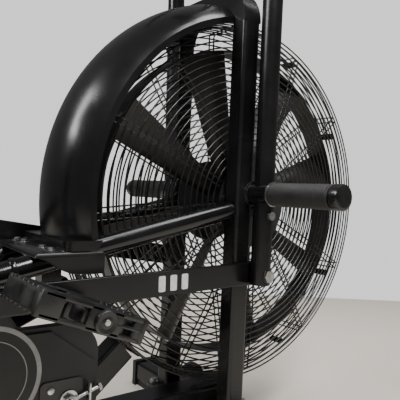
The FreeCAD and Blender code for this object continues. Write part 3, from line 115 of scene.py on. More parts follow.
def finish(name, clean, dusty, rubbed, dull, patch_scale=18.0, grain_scale=1500.0, grain_depth=0.00006,
           metallic=0.0, specular=0.5):
    """A material: the worn finish over a plain shader, with its grain as a bump."""
    material = bpy.data.materials.new(name)
    material.use_nodes = True
    tree = material.node_tree
    shader = tree.nodes["Principled BSDF"]
    shader.inputs["Metallic"].default_value = metallic
    shader.inputs["Specular IOR Level"].default_value = specular
    coords = tree.nodes.new("ShaderNodeTexCoord")
    worn = tree.nodes.new("ShaderNodeGroup")
    worn.node_tree = worn_finish
    worn.inputs["Clean"].default_value = (*clean, 1)
    worn.inputs["Dusty"].default_value = (*dusty, 1)
    worn.inputs["Patch scale"].default_value = patch_scale
    worn.inputs["Grain scale"].default_value = grain_scale
    worn.inputs["Rubbed"].default_value = rubbed
    worn.inputs["Dull"].default_value = dull
    bump = tree.nodes.new("ShaderNodeBump")
    bump.inputs["Strength"].default_value = 0.6
    bump.inputs["Distance"].default_value = grain_depth
    link = tree.links.new
    link(coords.outputs["Object"], worn.inputs["Vector"])
    link(worn.outputs["Color"], shader.inputs["Base Color"])
    link(worn.outputs["Roughness"], shader.inputs["Roughness"])
    link(worn.outputs["Height"], bump.inputs["Height"])
    link(bump.outputs["Normal"], shader.inputs["Normal"])
    return material


def coat(material, *names):
    for name in names:
        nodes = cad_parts[name].data.materials
        nodes.clear()
        nodes.append(material)


powder_coat = finish("satin black powder coat", (0.0035, 0.0035, 0.004), (0.010, 0.010, 0.0105), 0.2, 0.36,
                     patch_scale=9.0, specular=0.38)
coat(powder_coat, "main_beam", "front_stabiliser", "rear_stabiliser", "fork_plates", "fork_legs",
     "fork_bridge", "seat_mast", "centre_strut", "cage_stay", "bearing_shells", "console_stem",
     "seat_post", "seat_carriage")


def set_down(bm, name, material, body, replaces=(), crease=35, soften=0.0):
    """Turns a bmesh into a shaded piece that rides on its body."""
    bmesh.ops.recalc_face_normals(bm, faces=bm.faces)
    mesh = bpy.data.meshes.new(name)
    bm.to_mesh(mesh)
    bm.free()
    mesh.materials.append(material)
    mesh.shade_smooth()
    mesh.set_sharp_from_angle(angle=math.radians(crease))
    piece = bpy.data.objects.new(name, mesh)
    bpy.context.collection.objects.link(piece)
    if soften:
        edge = piece.modifiers.new("softened edges", "BEVEL")
        edge.width = soften
        edge.segments = 2
        edge.limit_method = "ANGLE"
        edge.angle_limit = math.radians(40)
    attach(piece, body)
    if replaces:
        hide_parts(*replaces)
    return piece


def edges_of(verts):
    return list({edge for vert in verts for edge in vert.link_edges})


def block(bm, size, place, round_edges=0.0, segments=3, picked=None):
    """A box of that size; place is its 4x4 matrix.  picked chooses the edges to round."""
    made = bmesh.ops.create_cube(bm, size=1.0, matrix=place @ Matrix.Diagonal((*size, 1)))
    edges = [edge for edge in edges_of(made["verts"]) if picked is None or picked(edge)]
    if round_edges:
        bmesh.ops.bevel(bm, geom=edges, offset=round_edges, segments=segments, profile=0.5,
                        affect="EDGES", material=-1, clamp_overlap=True)


def facing(place, direction):
    """The matrix of a thing at place whose own Z points along direction."""
    return Matrix.Translation(place) @ Vector(direction).to_track_quat("Z", "Y").to_matrix().to_4x4()


def turned(bm, profile, foot, axis, steps=48):
    """A lathe shape round axis from foot; profile is (distance along, radius) pairs."""
    place = facing(foot, axis)
    verts = [bm.verts.new(place @ Vector((radius, 0, along))) for along, radius in profile]
    edges = [bm.edges.new(ends) for ends in zip(verts, verts[1:])]
    bmesh.ops.spin(bm, geom=verts + edges, cent=foot, axis=Vector(axis).normalized(),
                   angle=math.tau, steps=steps, use_merge=True)
    bmesh.ops.remove_doubles(bm, verts=bm.verts, dist=1e-6)


def hex_bolt(bm, place, outward, across, height):
    """A washer with a chamfered hexagon head on it."""
    outward = Vector(outward).normalized()
    place = Vector(place)
    washer = across * 0.72
    turned(bm, [(0, 0), (0, washer), (height * 0.25, washer), (height * 0.25, 0)], place, outward, 24)
    head = bmesh.ops.create_cone(bm, cap_ends=True, segments=6, radius1=across / 2, radius2=across / 2,
                                 depth=height * 0.75,
                                 matrix=facing(place + outward * height * 0.62, outward))
    bmesh.ops.bevel(bm, geom=edges_of(head["verts"]), offset=across * 0.05, segments=2, profile=0.5,
                    affect="EDGES", material=-1, clamp_overlap=True)


def weld_bead(bm, middle, axis, radius, thickness=0.0025, ripples=40):
    """A fillet weld round a joint."""
    place = facing(middle, axis)
    ring = bmesh.ops.create_circle(bm, radius=thickness, segments=8,
                                   matrix=place @ Matrix.Translation((radius, 0, 0))
                                   @ Matrix.Rotation(math.pi / 2, 4, "X"))
    bmesh.ops.spin(bm, geom=ring["verts"] + edges_of(ring["verts"]), cent=middle,
                   axis=Vector(axis).normalized(), angle=math.tau, steps=ripples * 3, use_merge=True)


peg = box_middle("pivot_shafts")
peg.y = 0
leg_low, leg_high = (Vector(corner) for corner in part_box("fork_legs"))
beads = bmesh.new()
for _, side in SIDES:
    weld_bead(beads, Vector((peg.x, side * (leg_high.y + 0.001), peg.z)), ACROSS, 0.0195)
set_down(beads, "peg_boss_welds", powder_coat, "frame")

zinc = finish("zinc plate", (0.55, 0.55, 0.54), (0.34, 0.34, 0.33), 0.22, 0.42, patch_scale=160.0,
              grain_scale=2600.0, metallic=1.0)
plate_low, plate_high = (Vector(corner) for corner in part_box("fork_plates"))
foot_bolts = bmesh.new()
plate_top = leg_low.z
for _, side in SIDES:
    for x in (plate_low.x + 0.012, plate_high.x - 0.016):
        for y in (leg_high.y + 0.006, leg_high.y - 0.052):
            hex_bolt(foot_bolts, (x, side * y, plate_top), UP, 0.013, 0.007)
set_down(foot_bolts, "fork_foot_bolts", zinc, "frame")

# ---- side tubes -----------------------------------------------------------------------------
# Two round steel tubes run from the fork's legs, curve in under the fender and are welded to
# the seat mast.  They are coated in the same black, polished by legs brushing past.

TUBE_RADIUS = 0.016
TUBE_KNEE = (-0.330, 0.068, -0.102)
TUBE_END = (-0.548, 0.034, -0.163)
TUBE_DROP = 0.030
TUBE_BEND = 0.300
gloss_coat = finish("polished black powder coat", (0.0025, 0.0025, 0.003), (0.007, 0.007, 0.0075), 0.12, 0.24,
                    patch_scale=7.0)


def bent_line(points, bend, steps=14):
    """Points of a line with its knees rounded to radius bend."""
    line = [points[0]]
    for before, knee, after in zip(points, points[1:], points[2:]):
        into = (before - knee).normalized()
        out = (after - knee).normalized()
        half = into.angle(out) / 2
        centre = knee + (into + out).normalized() * (bend / math.sin(half))
        first = knee + into * (bend / math.tan(half)) - centre
        last = knee + out * (bend / math.tan(half)) - centre
        line += [centre + first.slerp(last, i / steps) * bend for i in range(steps + 1)]
    return line + [points[-1]]


def tube_along(bm, line, radius, segments=32):
    """A round bar pushed along a line of points, closed at both ends."""
    heading = (line[1] - line[0]).normalized()
    ring = bmesh.ops.create_circle(bm, cap_ends=True, radius=radius, segments=segments,
                                   matrix=facing(line[0], heading))
    edges = edges_of(ring["verts"])
    for i in range(1, len(line)):
        ahead = line[min(i + 1, len(line) - 1)] - line[i - 1] if i < len(line) - 1 else line[i] - line[i - 1]
        moved = bmesh.ops.extrude_edge_only(bm, edges=edges)["geom"]
        verts = [item for item in moved if isinstance(item, bmesh.types.BMVert)]
        new = set(verts)
        edges = [item for item in moved if isinstance(item, bmesh.types.BMEdge) and set(item.verts) <= new]
        swing = heading.rotation_difference(ahead.normalized()).to_matrix()
        bmesh.ops.rotate(bm, cent=line[i - 1], matrix=swing, verts=verts)
        bmesh.ops.translate(bm, vec=line[i] - line[i - 1], verts=verts)
        heading = ahead.normalized()
    bmesh.ops.contextual_create(bm, geom=edges)


side_tubes = bmesh.new()
tube_lines = {}
LEG_HALF_WIDTH = 0.017
leg_middle = leg_high.y - LEG_HALF_WIDTH
for name, side in SIDES:
    start = Vector((leg_low.x - 0.0005, side * leg_middle, peg.z - TUBE_DROP))
    knee = peg + Vector((TUBE_KNEE[0], side * TUBE_KNEE[1], TUBE_KNEE[2]))
    end = peg + Vector((TUBE_END[0], side * TUBE_END[1], TUBE_END[2]))
    tube_lines[name] = bent_line([start, knee, end], TUBE_BEND)
    tube_along(side_tubes, tube_lines[name], TUBE_RADIUS)
set_down(side_tubes, "side_tube_pair", gloss_coat, "frame", ["side_tubes"])
CLAMP_DOWN = 0.045
clamps = bmesh.new()
for name, side in SIDES:
    line = tube_lines[name]
    behind = (line[-1] - line[-2]).normalized()
    turned(clamps, [(0, TUBE_RADIUS), (0, 0.0176), (0.001, 0.0182), (0.006, 0.0182), (0.007, 0.0176),
                    (0.007, TUBE_RADIUS)], line[-2] + behind * CLAMP_DOWN, behind, 40)
set_down(clamps, "side_tube_clamp_rings", gloss_coat, "frame")

# ---- cage -----------------------------------------------------------------------------------
# Two domed grilles of drawn steel wire, resistance welded and dipped black: rings outside,
# pairs of radial wires inside, turned over the edge and held together by folded clips.

WIRE_RADIUS = 0.0015
RING_STEP = 0.012
HUB_PLATE_RADIUS = 0.080
CAGE_RADIUS = 0.330
CAGE_RIM_Y = 0.040
HUB_FACE_Y = {"right": 0.066, "left": 0.056}
SPOKE_PAIRS = 12
SPOKE_SPREAD = 0.011
SPOKE_TURN = 0.18
fan = box_middle("fan_hub")
fan.y = 0
dipped_wire = finish("dipped black wire", (0.0035, 0.0035, 0.0035), (0.012, 0.012, 0.012), 0.2, 0.38,
                     patch_scale=25.0, grain_scale=900.0)


def dome(radius, hub_y):
    share = (radius - HUB_PLATE_RADIUS) / (CAGE_RADIUS - HUB_PLATE_RADIUS)
    return hub_y - (hub_y - CAGE_RIM_Y) * share ** 2


def wire_ring(bm, radius, y):
    """One hoop of wire round the fan's axis."""
    made = bmesh.ops.create_circle(bm, radius=WIRE_RADIUS, segments=6,
                                   matrix=Matrix.Translation(fan + Vector((radius, y, 0))))
    bmesh.ops.spin(bm, geom=made["verts"] + edges_of(made["verts"]), cent=fan, axis=ACROSS,
                   angle=math.tau, steps=120, use_merge=True)


for name, side in SIDES:
    cage = bmesh.new()
    hub_y = HUB_FACE_Y[name]
    under = 2 * WIRE_RADIUS + 0.0004
    middle = (HUB_PLATE_RADIUS + CAGE_RADIUS) / 2
    profile = [Vector((HUB_PLATE_RADIUS + 0.002, side * (hub_y - under), 0)),
               Vector((middle, side * (dome(middle, hub_y) - under - 0.0003), 0)),
               Vector((CAGE_RADIUS - under, side * (CAGE_RIM_Y - under), 0)),
               Vector((CAGE_RADIUS - under, side * (CAGE_RIM_Y - 3.3 * RING_STEP), 0))]
    line = bent_line(profile, 0.006, 3)
    for i in range(SPOKE_PAIRS):
        turn = Matrix.Rotation(-math.tau / SPOKE_PAIRS * (i + SPOKE_TURN), 4, "Y")
        for offset in (-SPOKE_SPREAD / 2, SPOKE_SPREAD / 2):
            place = Matrix.Translation(fan) @ turn @ Matrix.Translation((0, 0, offset))
            tube_along(cage, [place @ point for point in line], WIRE_RADIUS, 6)
    radius = HUB_PLATE_RADIUS + RING_STEP
    while radius < CAGE_RADIUS - 4 * WIRE_RADIUS:
        wire_ring(cage, radius, side * dome(radius, hub_y))
        radius += RING_STEP
    for i in range(4):
        wire_ring(cage, CAGE_RADIUS, side * (CAGE_RIM_Y - i * RING_STEP))
    set_down(cage, "wire_cage_" + name, dipped_wire, "frame", ["cage_" + name], crease=80)

plate_paint = finish("dark grey sheet", (0.008, 0.008, 0.0085), (0.018, 0.018, 0.0185), 0.36, 0.5,
                     patch_scale=12.0)
coat(plate_paint, "cage_hub_plates")
coat(dipped_wire, "cage_clips")

# ---- fan ------------------------------------------------------------------------------------
# Eight cambered sheet steel blades are bolted between a turned hub and a rolled rim; the whole
# wheel turns on two sealed bearings on a fixed axle.

BLADES = 8
BLADE_ROOT = 0.034
BLADE_TIP = 0.078
BLADE_PITCH = math.radians(58)
BLADE_CAMBER = 0.007
BLADE_SHEET = 0.0016
hub_radius = (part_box("fan_hub")[1][2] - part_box("fan_hub")[0][2]) / 2
rim_radius = (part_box("fan_rim")[1][2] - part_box("fan_rim")[0][2]) / 2 - 0.0025
blade_paint = finish("grey fan enamel", (0.007, 0.0065, 0.006), (0.022, 0.020, 0.018), 0.3, 0.5,
                     patch_scale=14.0, grain_scale=700.0)
turned_steel = finish("turned steel", (0.42, 0.42, 0.42), (0.22, 0.21, 0.2), 0.2, 0.38, patch_scale=60.0,
                      grain_scale=3000.0, metallic=1.0)


def blade(bm, angle):
    """One blade along X, cambered across its width, pitched and turned to its place."""
    made = bmesh.ops.create_grid(bm, x_segments=10, y_segments=8, size=0.5)
    reach = rim_radius - hub_radius - 0.0005
    for vert in made["verts"]:
        along = vert.co.x + 0.5
        across = vert.co.y * 2
        width = (BLADE_ROOT + (BLADE_TIP - BLADE_ROOT) * along) / 2
        bow = BLADE_CAMBER * (1 - across ** 2) * math.sin(math.pi * (0.15 + 0.7 * along))
        vert.co = Vector((hub_radius + reach * along, across * width, bow))
    faces = {face for vert in made["verts"] for face in vert.link_faces}
    thick = bmesh.ops.solidify(bm, geom=list(faces), thickness=BLADE_SHEET)["geom"]
    verts = list({vert for vert in made["verts"]} | {v for v in thick if isinstance(v, bmesh.types.BMVert)})
    bmesh.ops.rotate(bm, cent=(0, 0, 0), matrix=Matrix.Rotation(BLADE_PITCH, 3, "X"), verts=verts)
    bmesh.ops.rotate(bm, cent=(0, 0, 0), matrix=Matrix.Rotation(-angle, 3, "Y"), verts=verts)
    bmesh.ops.translate(bm, vec=fan, verts=verts)


blades = bmesh.new()
rivets = bmesh.new()
for i in range(BLADES):
    angle = math.tau / BLADES * (i + 0.35)
    blade(blades, angle)
    outward = Vector((math.cos(angle), 0, math.sin(angle)))
    for y in (-0.012, 0.012):
        place = fan + outward * (rim_radius + 0.0026) + ACROSS * y
        turned(rivets, [(0.0, 0.004), (0.0016, 0.0034), (0.0026, 0.0)], place, outward, 12)
set_down(blades, "fan_blade_set", blade_paint, "fan", ["fan_blades"], crease=50)
set_down(rivets, "rim_rivets", zinc, "fan")
coat(blade_paint, "fan_rim")
coat(plate_paint, "fan_hub")
coat(turned_steel, "fan_pulley", "fan_axle", "bearings", "chainring", "drive_chain", "crank_axle",
     "pedal_spindles", "lever_bushes", "jackshaft")

# ---- fender ---------------------------------------------------------------------------------
# A wide injection moulded guard round the back of the cage.  Its crown is turned about the
# fan's axis, its edges roll inward, and its foot flares into a collar over the saddle.

coat(finish("polished moulding", (0.003, 0.003, 0.0035), (0.008, 0.008, 0.0085), 0.17, 0.31, patch_scale=6.0,
            grain_scale=500.0, grain_depth=0.00003), "fender")
moulding = finish("satin moulding", (0.0045, 0.0045, 0.005), (0.012, 0.012, 0.0125), 0.24, 0.42,
                  patch_scale=11.0, grain_scale=1100.0)
saddle_low, saddle_high = (Vector(corner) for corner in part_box("fender_saddle"))
saddle = bmesh.new()
depth = saddle_high.z - saddle_low.z
span = saddle_high.x - saddle_low.x
outline = [(0.0, 0.0), (0.0, -0.2)]
for i in range(13):
    share = i / 12
    outline.append((0.03 + 0.57 * share, -0.22 - 0.72 * math.sin(math.pi / 2 * share) ** 1.6))
outline += [(0.72, -0.98), (1.0, -0.98), (1.0, 0.0)]
flank = [saddle.verts.new((saddle_low.x + span * x, saddle_low.y + 0.001, saddle_high.z + depth * z))
         for x, z in outline]
side_face = saddle.faces.new(flank)
grown = bmesh.ops.extrude_face_region(saddle, geom=[side_face])["geom"]
bmesh.ops.translate(saddle, vec=ACROSS * (saddle_high.y - saddle_low.y - 0.002),
                    verts=[item for item in grown if isinstance(item, bmesh.types.BMVert)])
top_edges = [edge for edge in saddle.edges
             if min(vert.co.z for vert in edge.verts) > saddle_high.z - 0.0001]
bmesh.ops.bevel(saddle, geom=top_edges, offset=0.009, segments=5, profile=0.5, affect="EDGES", material=-1,
                clamp_overlap=True)
set_down(saddle, "moulded_saddle", moulding, "frame", ["fender_saddle"], crease=50,
         soften=0.0012)
saddle_bolts = bmesh.new()
for x, y in ((0.028, 0.020), (0.062, 0.020), (0.028, 0.052), (0.062, 0.052)):
    for _, side in SIDES:
        hex_bolt(saddle_bolts, (saddle_low.x + x, side * (saddle_high.y - y), saddle_high.z), UP, 0.011,
                 0.005)
set_down(saddle_bolts, "saddle_bolts", zinc, "frame")

# ---- levers ---------------------------------------------------------------------------------
# Each arm is a bent round steel tube welded across a sleeve that turns on the peg's shaft.
# A foam grip is pushed over the handle and the foot ends in a forked eye for the link.

lever_coat = finish("lever powder coat", (0.0035, 0.0035, 0.004), (0.010, 0.010, 0.0105), 0.17, 0.33,
                    patch_scale=8.0, specular=0.36)
coat(lever_coat, "lever_right", "lever_left", "crank_webs", "crank_arms", "link_right", "link_left")
coat(turned_steel, "pivot_shafts")
coat(zinc, "lever_bolts_right", "lever_bolts_left")
foam = finish("ribbed foam", (0.010, 0.010, 0.010), (0.032, 0.031, 0.030), 0.66, 0.85, patch_scale=30.0,
              grain_scale=1900.0, grain_depth=0.0003, specular=0.3)
coat(foam, "handle_grip_right", "handle_grip_left")
for name, side in SIDES:
    handle_low, handle_high = (Vector(corner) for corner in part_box("handle_grip_" + name))
    top = Vector((handle_low.x + 0.0238, side * (abs(handle_low.y if side < 0 else handle_high.y) - 0.0215),
                  handle_high.z - 0.006))
    foot = Vector((handle_high.x - 0.0235, side * (abs(handle_high.y if side < 0 else handle_low.y) + 0.0225),
                   handle_low.z + 0.007))
    length = (top - foot).length
    profile = [(0.0, 0.0172), (0.0, 0.0196)]
    ribs = 17
    for i in range(ribs):
        at = 0.003 + (length - 0.009) * i / ribs
        step = (length - 0.009) / ribs
        profile += [(at, 0.0199), (at + step * 0.15, 0.0205), (at + step * 0.7, 0.0205),
                    (at + step * 0.85, 0.0199)]
    profile += [(length - 0.006, 0.0204), (length - 0.002, 0.0190), (length, 0.0150), (length, 0.0)]
    grip = bmesh.new()
    turned(grip, profile, foot, top - foot, 40)
    set_down(grip, "foam_grip_" + name, foam, "lever_" + name[0], ["handle_grip_" + name])

# ---- foot pegs ------------------------------------------------------------------------------
# The fixed pivot shaft carries on outboard of the lever as a foot peg: a knurled rubber
# sleeve pushed over it and a plastic cap driven into its end.

rubber = finish("black rubber", (0.008, 0.008, 0.008), (0.024, 0.0235, 0.023), 0.48, 0.7, patch_scale=30.0,
                grain_scale=1300.0, grain_depth=0.0002, specular=0.35)
coat(rubber, "end_caps", "fan_belt")
cap_plastic = finish("cap plastic", (0.004, 0.004, 0.004), (0.012, 0.012, 0.012), 0.2, 0.38,
                     patch_scale=24.0, grain_scale=1300.0)
sleeve_high = abs(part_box("foot_peg_grips")[0][1])
sleeve_low = 0.1605
peg_out = abs(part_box("foot_peg_caps")[0][1])
peg_radius = (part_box("foot_peg_grips")[1][2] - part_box("foot_peg_grips")[0][2]) / 2
sleeves = bmesh.new()
caps = bmesh.new()
rings = 34
for _, side in SIDES:
    outward = Vector((0, side, 0))
    pitch = (sleeve_high - sleeve_low - 0.004) / rings
    profile = [(0.0, 0.0126), (0.0, peg_radius - 0.0012)]
    for i in range(rings):
        at = 0.002 + pitch * i
        profile += [(at, peg_radius - 0.0009), (at + pitch * 0.25, peg_radius),
                    (at + pitch * 0.7, peg_radius)]
    profile += [(sleeve_high - sleeve_low, peg_radius - 0.0012), (sleeve_high - sleeve_low, 0.0126)]
    turned(sleeves, profile, Vector((peg.x, side * sleeve_low, peg.z)), outward, 40)
    cap_length = 0.016
    turned(caps, [(0, 0.0126), (0, 0.0192), (0.0008, 0.02), (cap_length - 0.004, 0.02),
                  (cap_length - 0.0016, 0.0192), (cap_length - 0.0004, 0.0172), (cap_length, 0.0140),
                  (cap_length - 0.0006, 0.0)],
           Vector((peg.x, side * (peg_out - cap_length), peg.z)), outward, 56)
set_down(sleeves, "foot_peg_sleeves", rubber, "frame", ["foot_peg_grips"])
set_down(caps, "foot_peg_end_caps", cap_plastic, "frame", ["foot_peg_caps"])
washers = bmesh.new()
for _, side in SIDES:
    turned(washers, [(0, 0.0192), (0.0001, 0.0205), (0.0013, 0.0205), (0.0015, 0.0192)],
           Vector((peg.x, side * (sleeve_low - 0.0021), peg.z)), Vector((0, side, 0)), 40)
set_down(washers, "pivot_washers", zinc, "frame")

# ---- link bars ------------------------------------------------------------------------------
# A flat bar each side joins a pin on the crank to the lever's foot.  The right bar carries
# three plain pale printed bars where a name would be.

pale_print = finish("pale print", (0.62, 0.63, 0.62), (0.42, 0.42, 0.41), 0.4, 0.55, patch_scale=90.0)
link_low = Vector(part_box("link_right")[0])
LOWER_ARM = 0.137
EYE_RADIUS = 0.020
link_front = Vector((peg.x, link_low.y, peg.z - LOWER_ARM))
link_rear = Vector((link_low.x + EYE_RADIUS, link_low.y, link_low.z + EYE_RADIUS))
run = (link_front - link_rear).normalized()
rise = Vector((-run.z, 0, run.x))
PRINT_START = 0.145
PRINT_STEP = 0.021
prints = bmesh.new()
for i in range(3):
    middle = link_front - run * (PRINT_START + PRINT_STEP * i) + ACROSS * -0.0001
    place = Matrix((run, ACROSS, rise)).transposed().to_4x4()
    place.translation = middle
    block(prints, (0.012, 0.0003, 0.024), place, 0.0022, 3, lambda edge: abs(
        (edge.verts[0].co - edge.verts[1].co).y) > 0.0001)
set_down(prints, "printed_bars", pale_print, "link_r")
joint_bolts = bmesh.new()
hex_bolt(joint_bolts, link_rear + ACROSS * -0.0165, (0, -1, 0), 0.019, 0.008)
set_down(joint_bolts, "crank_pin_bolt", zinc, "crank")

# ---- pedals ---------------------------------------------------------------------------------
# Glass filled nylon platforms: two treaded bars and two end plates moulded round a barrel
# that turns on the spindle, with a cap over the spindle's end.

PEDAL_REAR = 0.080
PEDAL_FRONT = 0.055
PEDAL_HALF_THICK = 0.015
PEDAL_TILT = math.radians(21)
nylon = finish("glass filled nylon", (0.006, 0.006, 0.006), (0.018, 0.018, 0.018), 0.28, 0.5,
               patch_scale=40.0, grain_scale=1000.0, grain_depth=0.00015)
spindle_low, spindle_high = (Vector(corner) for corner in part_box("pedal_spindles"))
for name, side in SIDES:
    pedal_low, pedal_high = (Vector(corner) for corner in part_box("pedal_" + name))
    inner_y = min(abs(pedal_low.y), abs(pedal_high.y))
    outer_y = max(abs(pedal_low.y), abs(pedal_high.y))
    if side < 0:
        axis_at = Vector((spindle_high.x - 0.0065, 0, spindle_low.z + 0.0065))
    else:
        axis_at = Vector((spindle_low.x + 0.0065, 0, spindle_high.z - 0.0065))
    tilt = Matrix.Translation(axis_at) @ Matrix.Rotation(PEDAL_TILT, 4, "Y")
    middle_y = side * (inner_y + outer_y) / 2
    width = outer_y - inner_y
    pedal = bmesh.new()
    for x0, x1 in ((-PEDAL_REAR, -PEDAL_REAR + 0.018), (PEDAL_FRONT - 0.018, PEDAL_FRONT)):
        place = tilt @ Matrix.Translation(((x0 + x1) / 2, middle_y, 0))
        block(pedal, (x1 - x0, width - 0.014, 2 * PEDAL_HALF_THICK - 0.005), place, 0.0045, 4)
        for i in range(7):
            tooth_y = middle_y + (i - 3) * (width - 0.030) / 6
            place = tilt @ Matrix.Translation(((x0 + x1) / 2, tooth_y, 0))
            block(pedal, (x1 - x0 - 0.004, 0.007, 2 * PEDAL_HALF_THICK), place, 0.0016, 2)
    for y in (inner_y + 0.008, outer_y - 0.011):
        for x0, x1, z0, z1 in ((-0.076, 0.050, 0.0085, 0.0142), (-0.076, 0.050, -0.0142, -0.0085),
                               (-0.0795, -0.052, -0.0145, 0.0145), (0.010, 0.052, -0.002, 0.0024),
                               (0.0455, 0.0545, -0.0145, 0.0145), (-0.022, 0.022, -0.0145, 0.0145)):
            place = tilt @ Matrix.Translation(((x0 + x1) / 2, side * y, (z0 + z1) / 2))
            block(pedal, (x1 - x0, 0.009, z1 - z0), place, 0.0018, 2)
    for x in (-0.045, -0.024, 0.024):
        place = tilt @ Matrix.Translation((x, middle_y, 0))
        block(pedal, (0.006, width - 0.020, 0.020), place, 0.002, 2)
    for y in (-0.018, 0.018):
        place = tilt @ Matrix.Translation(((PEDAL_FRONT - PEDAL_REAR) / 2, middle_y + y, 0))
        block(pedal, (PEDAL_FRONT + PEDAL_REAR - 0.024, 0.006, 0.024), place, 0.002, 2)
    turned(pedal, [(0.0005, 0.0075), (0.0005, 0.0125), (0.002, 0.014), (width - 0.008, 0.014),
                   (width - 0.003, 0.0135), (width - 0.0012, 0.012), (width - 0.0018, 0.007),
                   (width - 0.0012, 0.006), (width - 0.001, 0.0)],
           axis_at + ACROSS * side * inner_y, (0, side, 0), 40)
    set_down(pedal, "resin_pedal_" + name, nylon, "pedal_" + name[0], ["pedal_" + name])
    hub_cap = bmesh.new()
    turned(hub_cap, [(0, 0.0036), (0.0009, 0.0031), (0.0012, 0.0)],
           axis_at + ACROSS * side * (outer_y - 0.00115), (0, side, 0), 32)
    set_down(hub_cap, "pedal_dust_cap_" + name, zinc, "pedal_" + name[0])

# ---- chain cover ----------------------------------------------------------------------------
# A vacuum formed tray with a flat panel screwed to its face.  A pale printed ring marks the
# panel; the chain's tensioner bolt, its lock nut and its stop plate stand on it.

cover_plastic = finish("cover plastic", (0.010, 0.010, 0.0105), (0.019, 0.019, 0.0195), 0.36, 0.52,
                       patch_scale=14.0, grain_scale=900.0, grain_depth=0.0001, specular=0.3)
coat(cover_plastic, "chain_cover", "cover_panel")
panel_low, panel_high = (Vector(corner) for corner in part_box("cover_panel"))
panel_face = panel_low.y
emblem = Vector((peg.x - 0.424, panel_face, peg.z - 0.250))
grey_print = finish("grey print", (0.26, 0.26, 0.262), (0.19, 0.19, 0.19), 0.42, 0.55, patch_scale=70.0)
PRINT_THICK = 0.0003
outlines = bmesh.new()
for radius, thickness in ((0.069, 0.0062), (0.050, 0.0012)):
    inner = radius - thickness
    turned(outlines, [(0.0, inner), (PRINT_THICK, inner), (PRINT_THICK, radius), (0.0, radius)],
           emblem, (0, -1, 0), 96)
set_down(outlines, "printed_rings", grey_print, "frame")
nut_at = Vector((peg.x - 0.316, panel_face, peg.z - 0.296))
plate = bmesh.new()
place = Matrix.Translation(nut_at + Vector((-0.010, -0.00125, 0.006)))
block(plate, (0.062, 0.0025, 0.046), place, 0.007, 5,
      lambda edge: abs((edge.verts[0].co - edge.verts[1].co).y) > 0.001)
set_down(plate, "tensioner_plate", plate_paint, "frame", soften=0.0005)
tension = bmesh.new()
hex_bolt(tension, nut_at + ACROSS * -0.0025, (0, -1, 0), 0.0185, 0.0085)
turned(tension, [(0, 0.005), (0.0122, 0.005), (0.013, 0.0042), (0.013, 0)], nut_at + ACROSS * -0.0022,
       (0, -1, 0), 24)
eye_low = nut_at + Vector((0.0085, -0.0065, 0.001))
eye_high = Vector((peg.x - 0.270, nut_at.y - 0.0065, nut_at.z + 0.012))
tube_along(tension, [eye_low, eye_high], 0.0026, 16)
turned(tension, [(0, 0.0028), (0, 0.0062), (0.004, 0.0062), (0.004, 0.0028)],
       eye_low.lerp(eye_high, 0.90), eye_high - eye_low, 6)
stop_at = Vector((peg.x - 0.2895, nut_at.y - 0.0093, nut_at.z + 0.009))
block(tension, (0.003, 0.0125, 0.026), Matrix.Translation(stop_at), 0.0008, 2)
turned(tension, [(0, 0.0052), (0.0014, 0.0048), (0.0022, 0.0034), (0.0024, 0)],
       nut_at + Vector((-0.026, -0.0025, 0.017)), (0, -1, 0), 24)
set_down(tension, "tensioner_hardware", zinc, "frame", ["tensioner"])
panel_screws = bmesh.new()
for x, z in ((panel_low.x + 0.020, panel_low.z + 0.020), (panel_low.x + 0.020, panel_low.z + 0.180),
             (panel_high.x - 0.018, panel_low.z + 0.018), (panel_low.x + 0.150, panel_low.z + 0.020)):
    turned(panel_screws, [(0, 0.0048), (0.0012, 0.0044), (0.0022, 0.0030), (0.0024, 0.0)],
           Vector((x, panel_face, z)), (0, -1, 0), 24)
set_down(panel_screws, "panel_screws", plate_paint, "frame")

# ---- seat ----------------------------------------------------------------------------------
# A foam pad on a plywood base, pulled over with textured vinyl and piped round its lower edge.
# The pad is crowned, with a shallow channel down its middle.

SEAT_SWELL = 0.004
vinyl = finish("textured vinyl", (0.011, 0.011, 0.012), (0.034, 0.033, 0.032), 0.4, 0.58, patch_scale=13.0,
               grain_scale=750.0, grain_depth=0.0005, specular=0.4)
coat(cap_plastic, "post_pin", "carriage_pin", "console_housing")
seat_low, seat_high = (Vector(corner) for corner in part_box("seat_cushion"))


def seat_half_width(share):
    """Half the pad's width at a share of its length from the back."""
    wide = (seat_high.y - seat_low.y) / 2
    nose = wide * 0.52
    if share < 0.33:
        return wide
    blend = (share - 0.33) / 0.67
    return wide + (nose - wide) * (3 * blend ** 2 - 2 * blend ** 3)


def pad(bm, inset, low, high):
    """The pad as a closed loft: outlines round its edge, stacked with rounded shoulders."""
    steps = 72
    back = seat_low.x + inset
    front = seat_high.x - inset
    middle = (back + front) / 2
    levels = ((low, 0.985), (low + 0.006, 1.0), (low + (high - low) * 0.55, 1.0),
              (low + (high - low) * 0.80, 0.975), (low + (high - low) * 0.94, 0.91), (high, 0.80))
    loops = []
    for z, size in levels:
        loop = []
        for i in range(steps):
            turn = math.tau * i / steps
            reach = math.copysign(abs(math.cos(turn)) ** 0.75, math.cos(turn))
            x = middle + (front - back) / 2 * reach * size
            half = (seat_half_width((x - back) / (front - back)) - inset) * size
            y = half * math.copysign(abs(math.sin(turn)) ** 0.62, math.sin(turn))
            loop.append(bm.verts.new((x, y, z)))
        loops.append([bm.edges.new((loop[i], loop[(i + 1) % steps])) for i in range(steps)])
    for lower, upper in zip(loops, loops[1:]):
        bmesh.ops.bridge_loops(bm, edges=lower + upper)
    for loop in (loops[0], loops[-1]):
        bmesh.ops.contextual_create(bm, geom=loop)


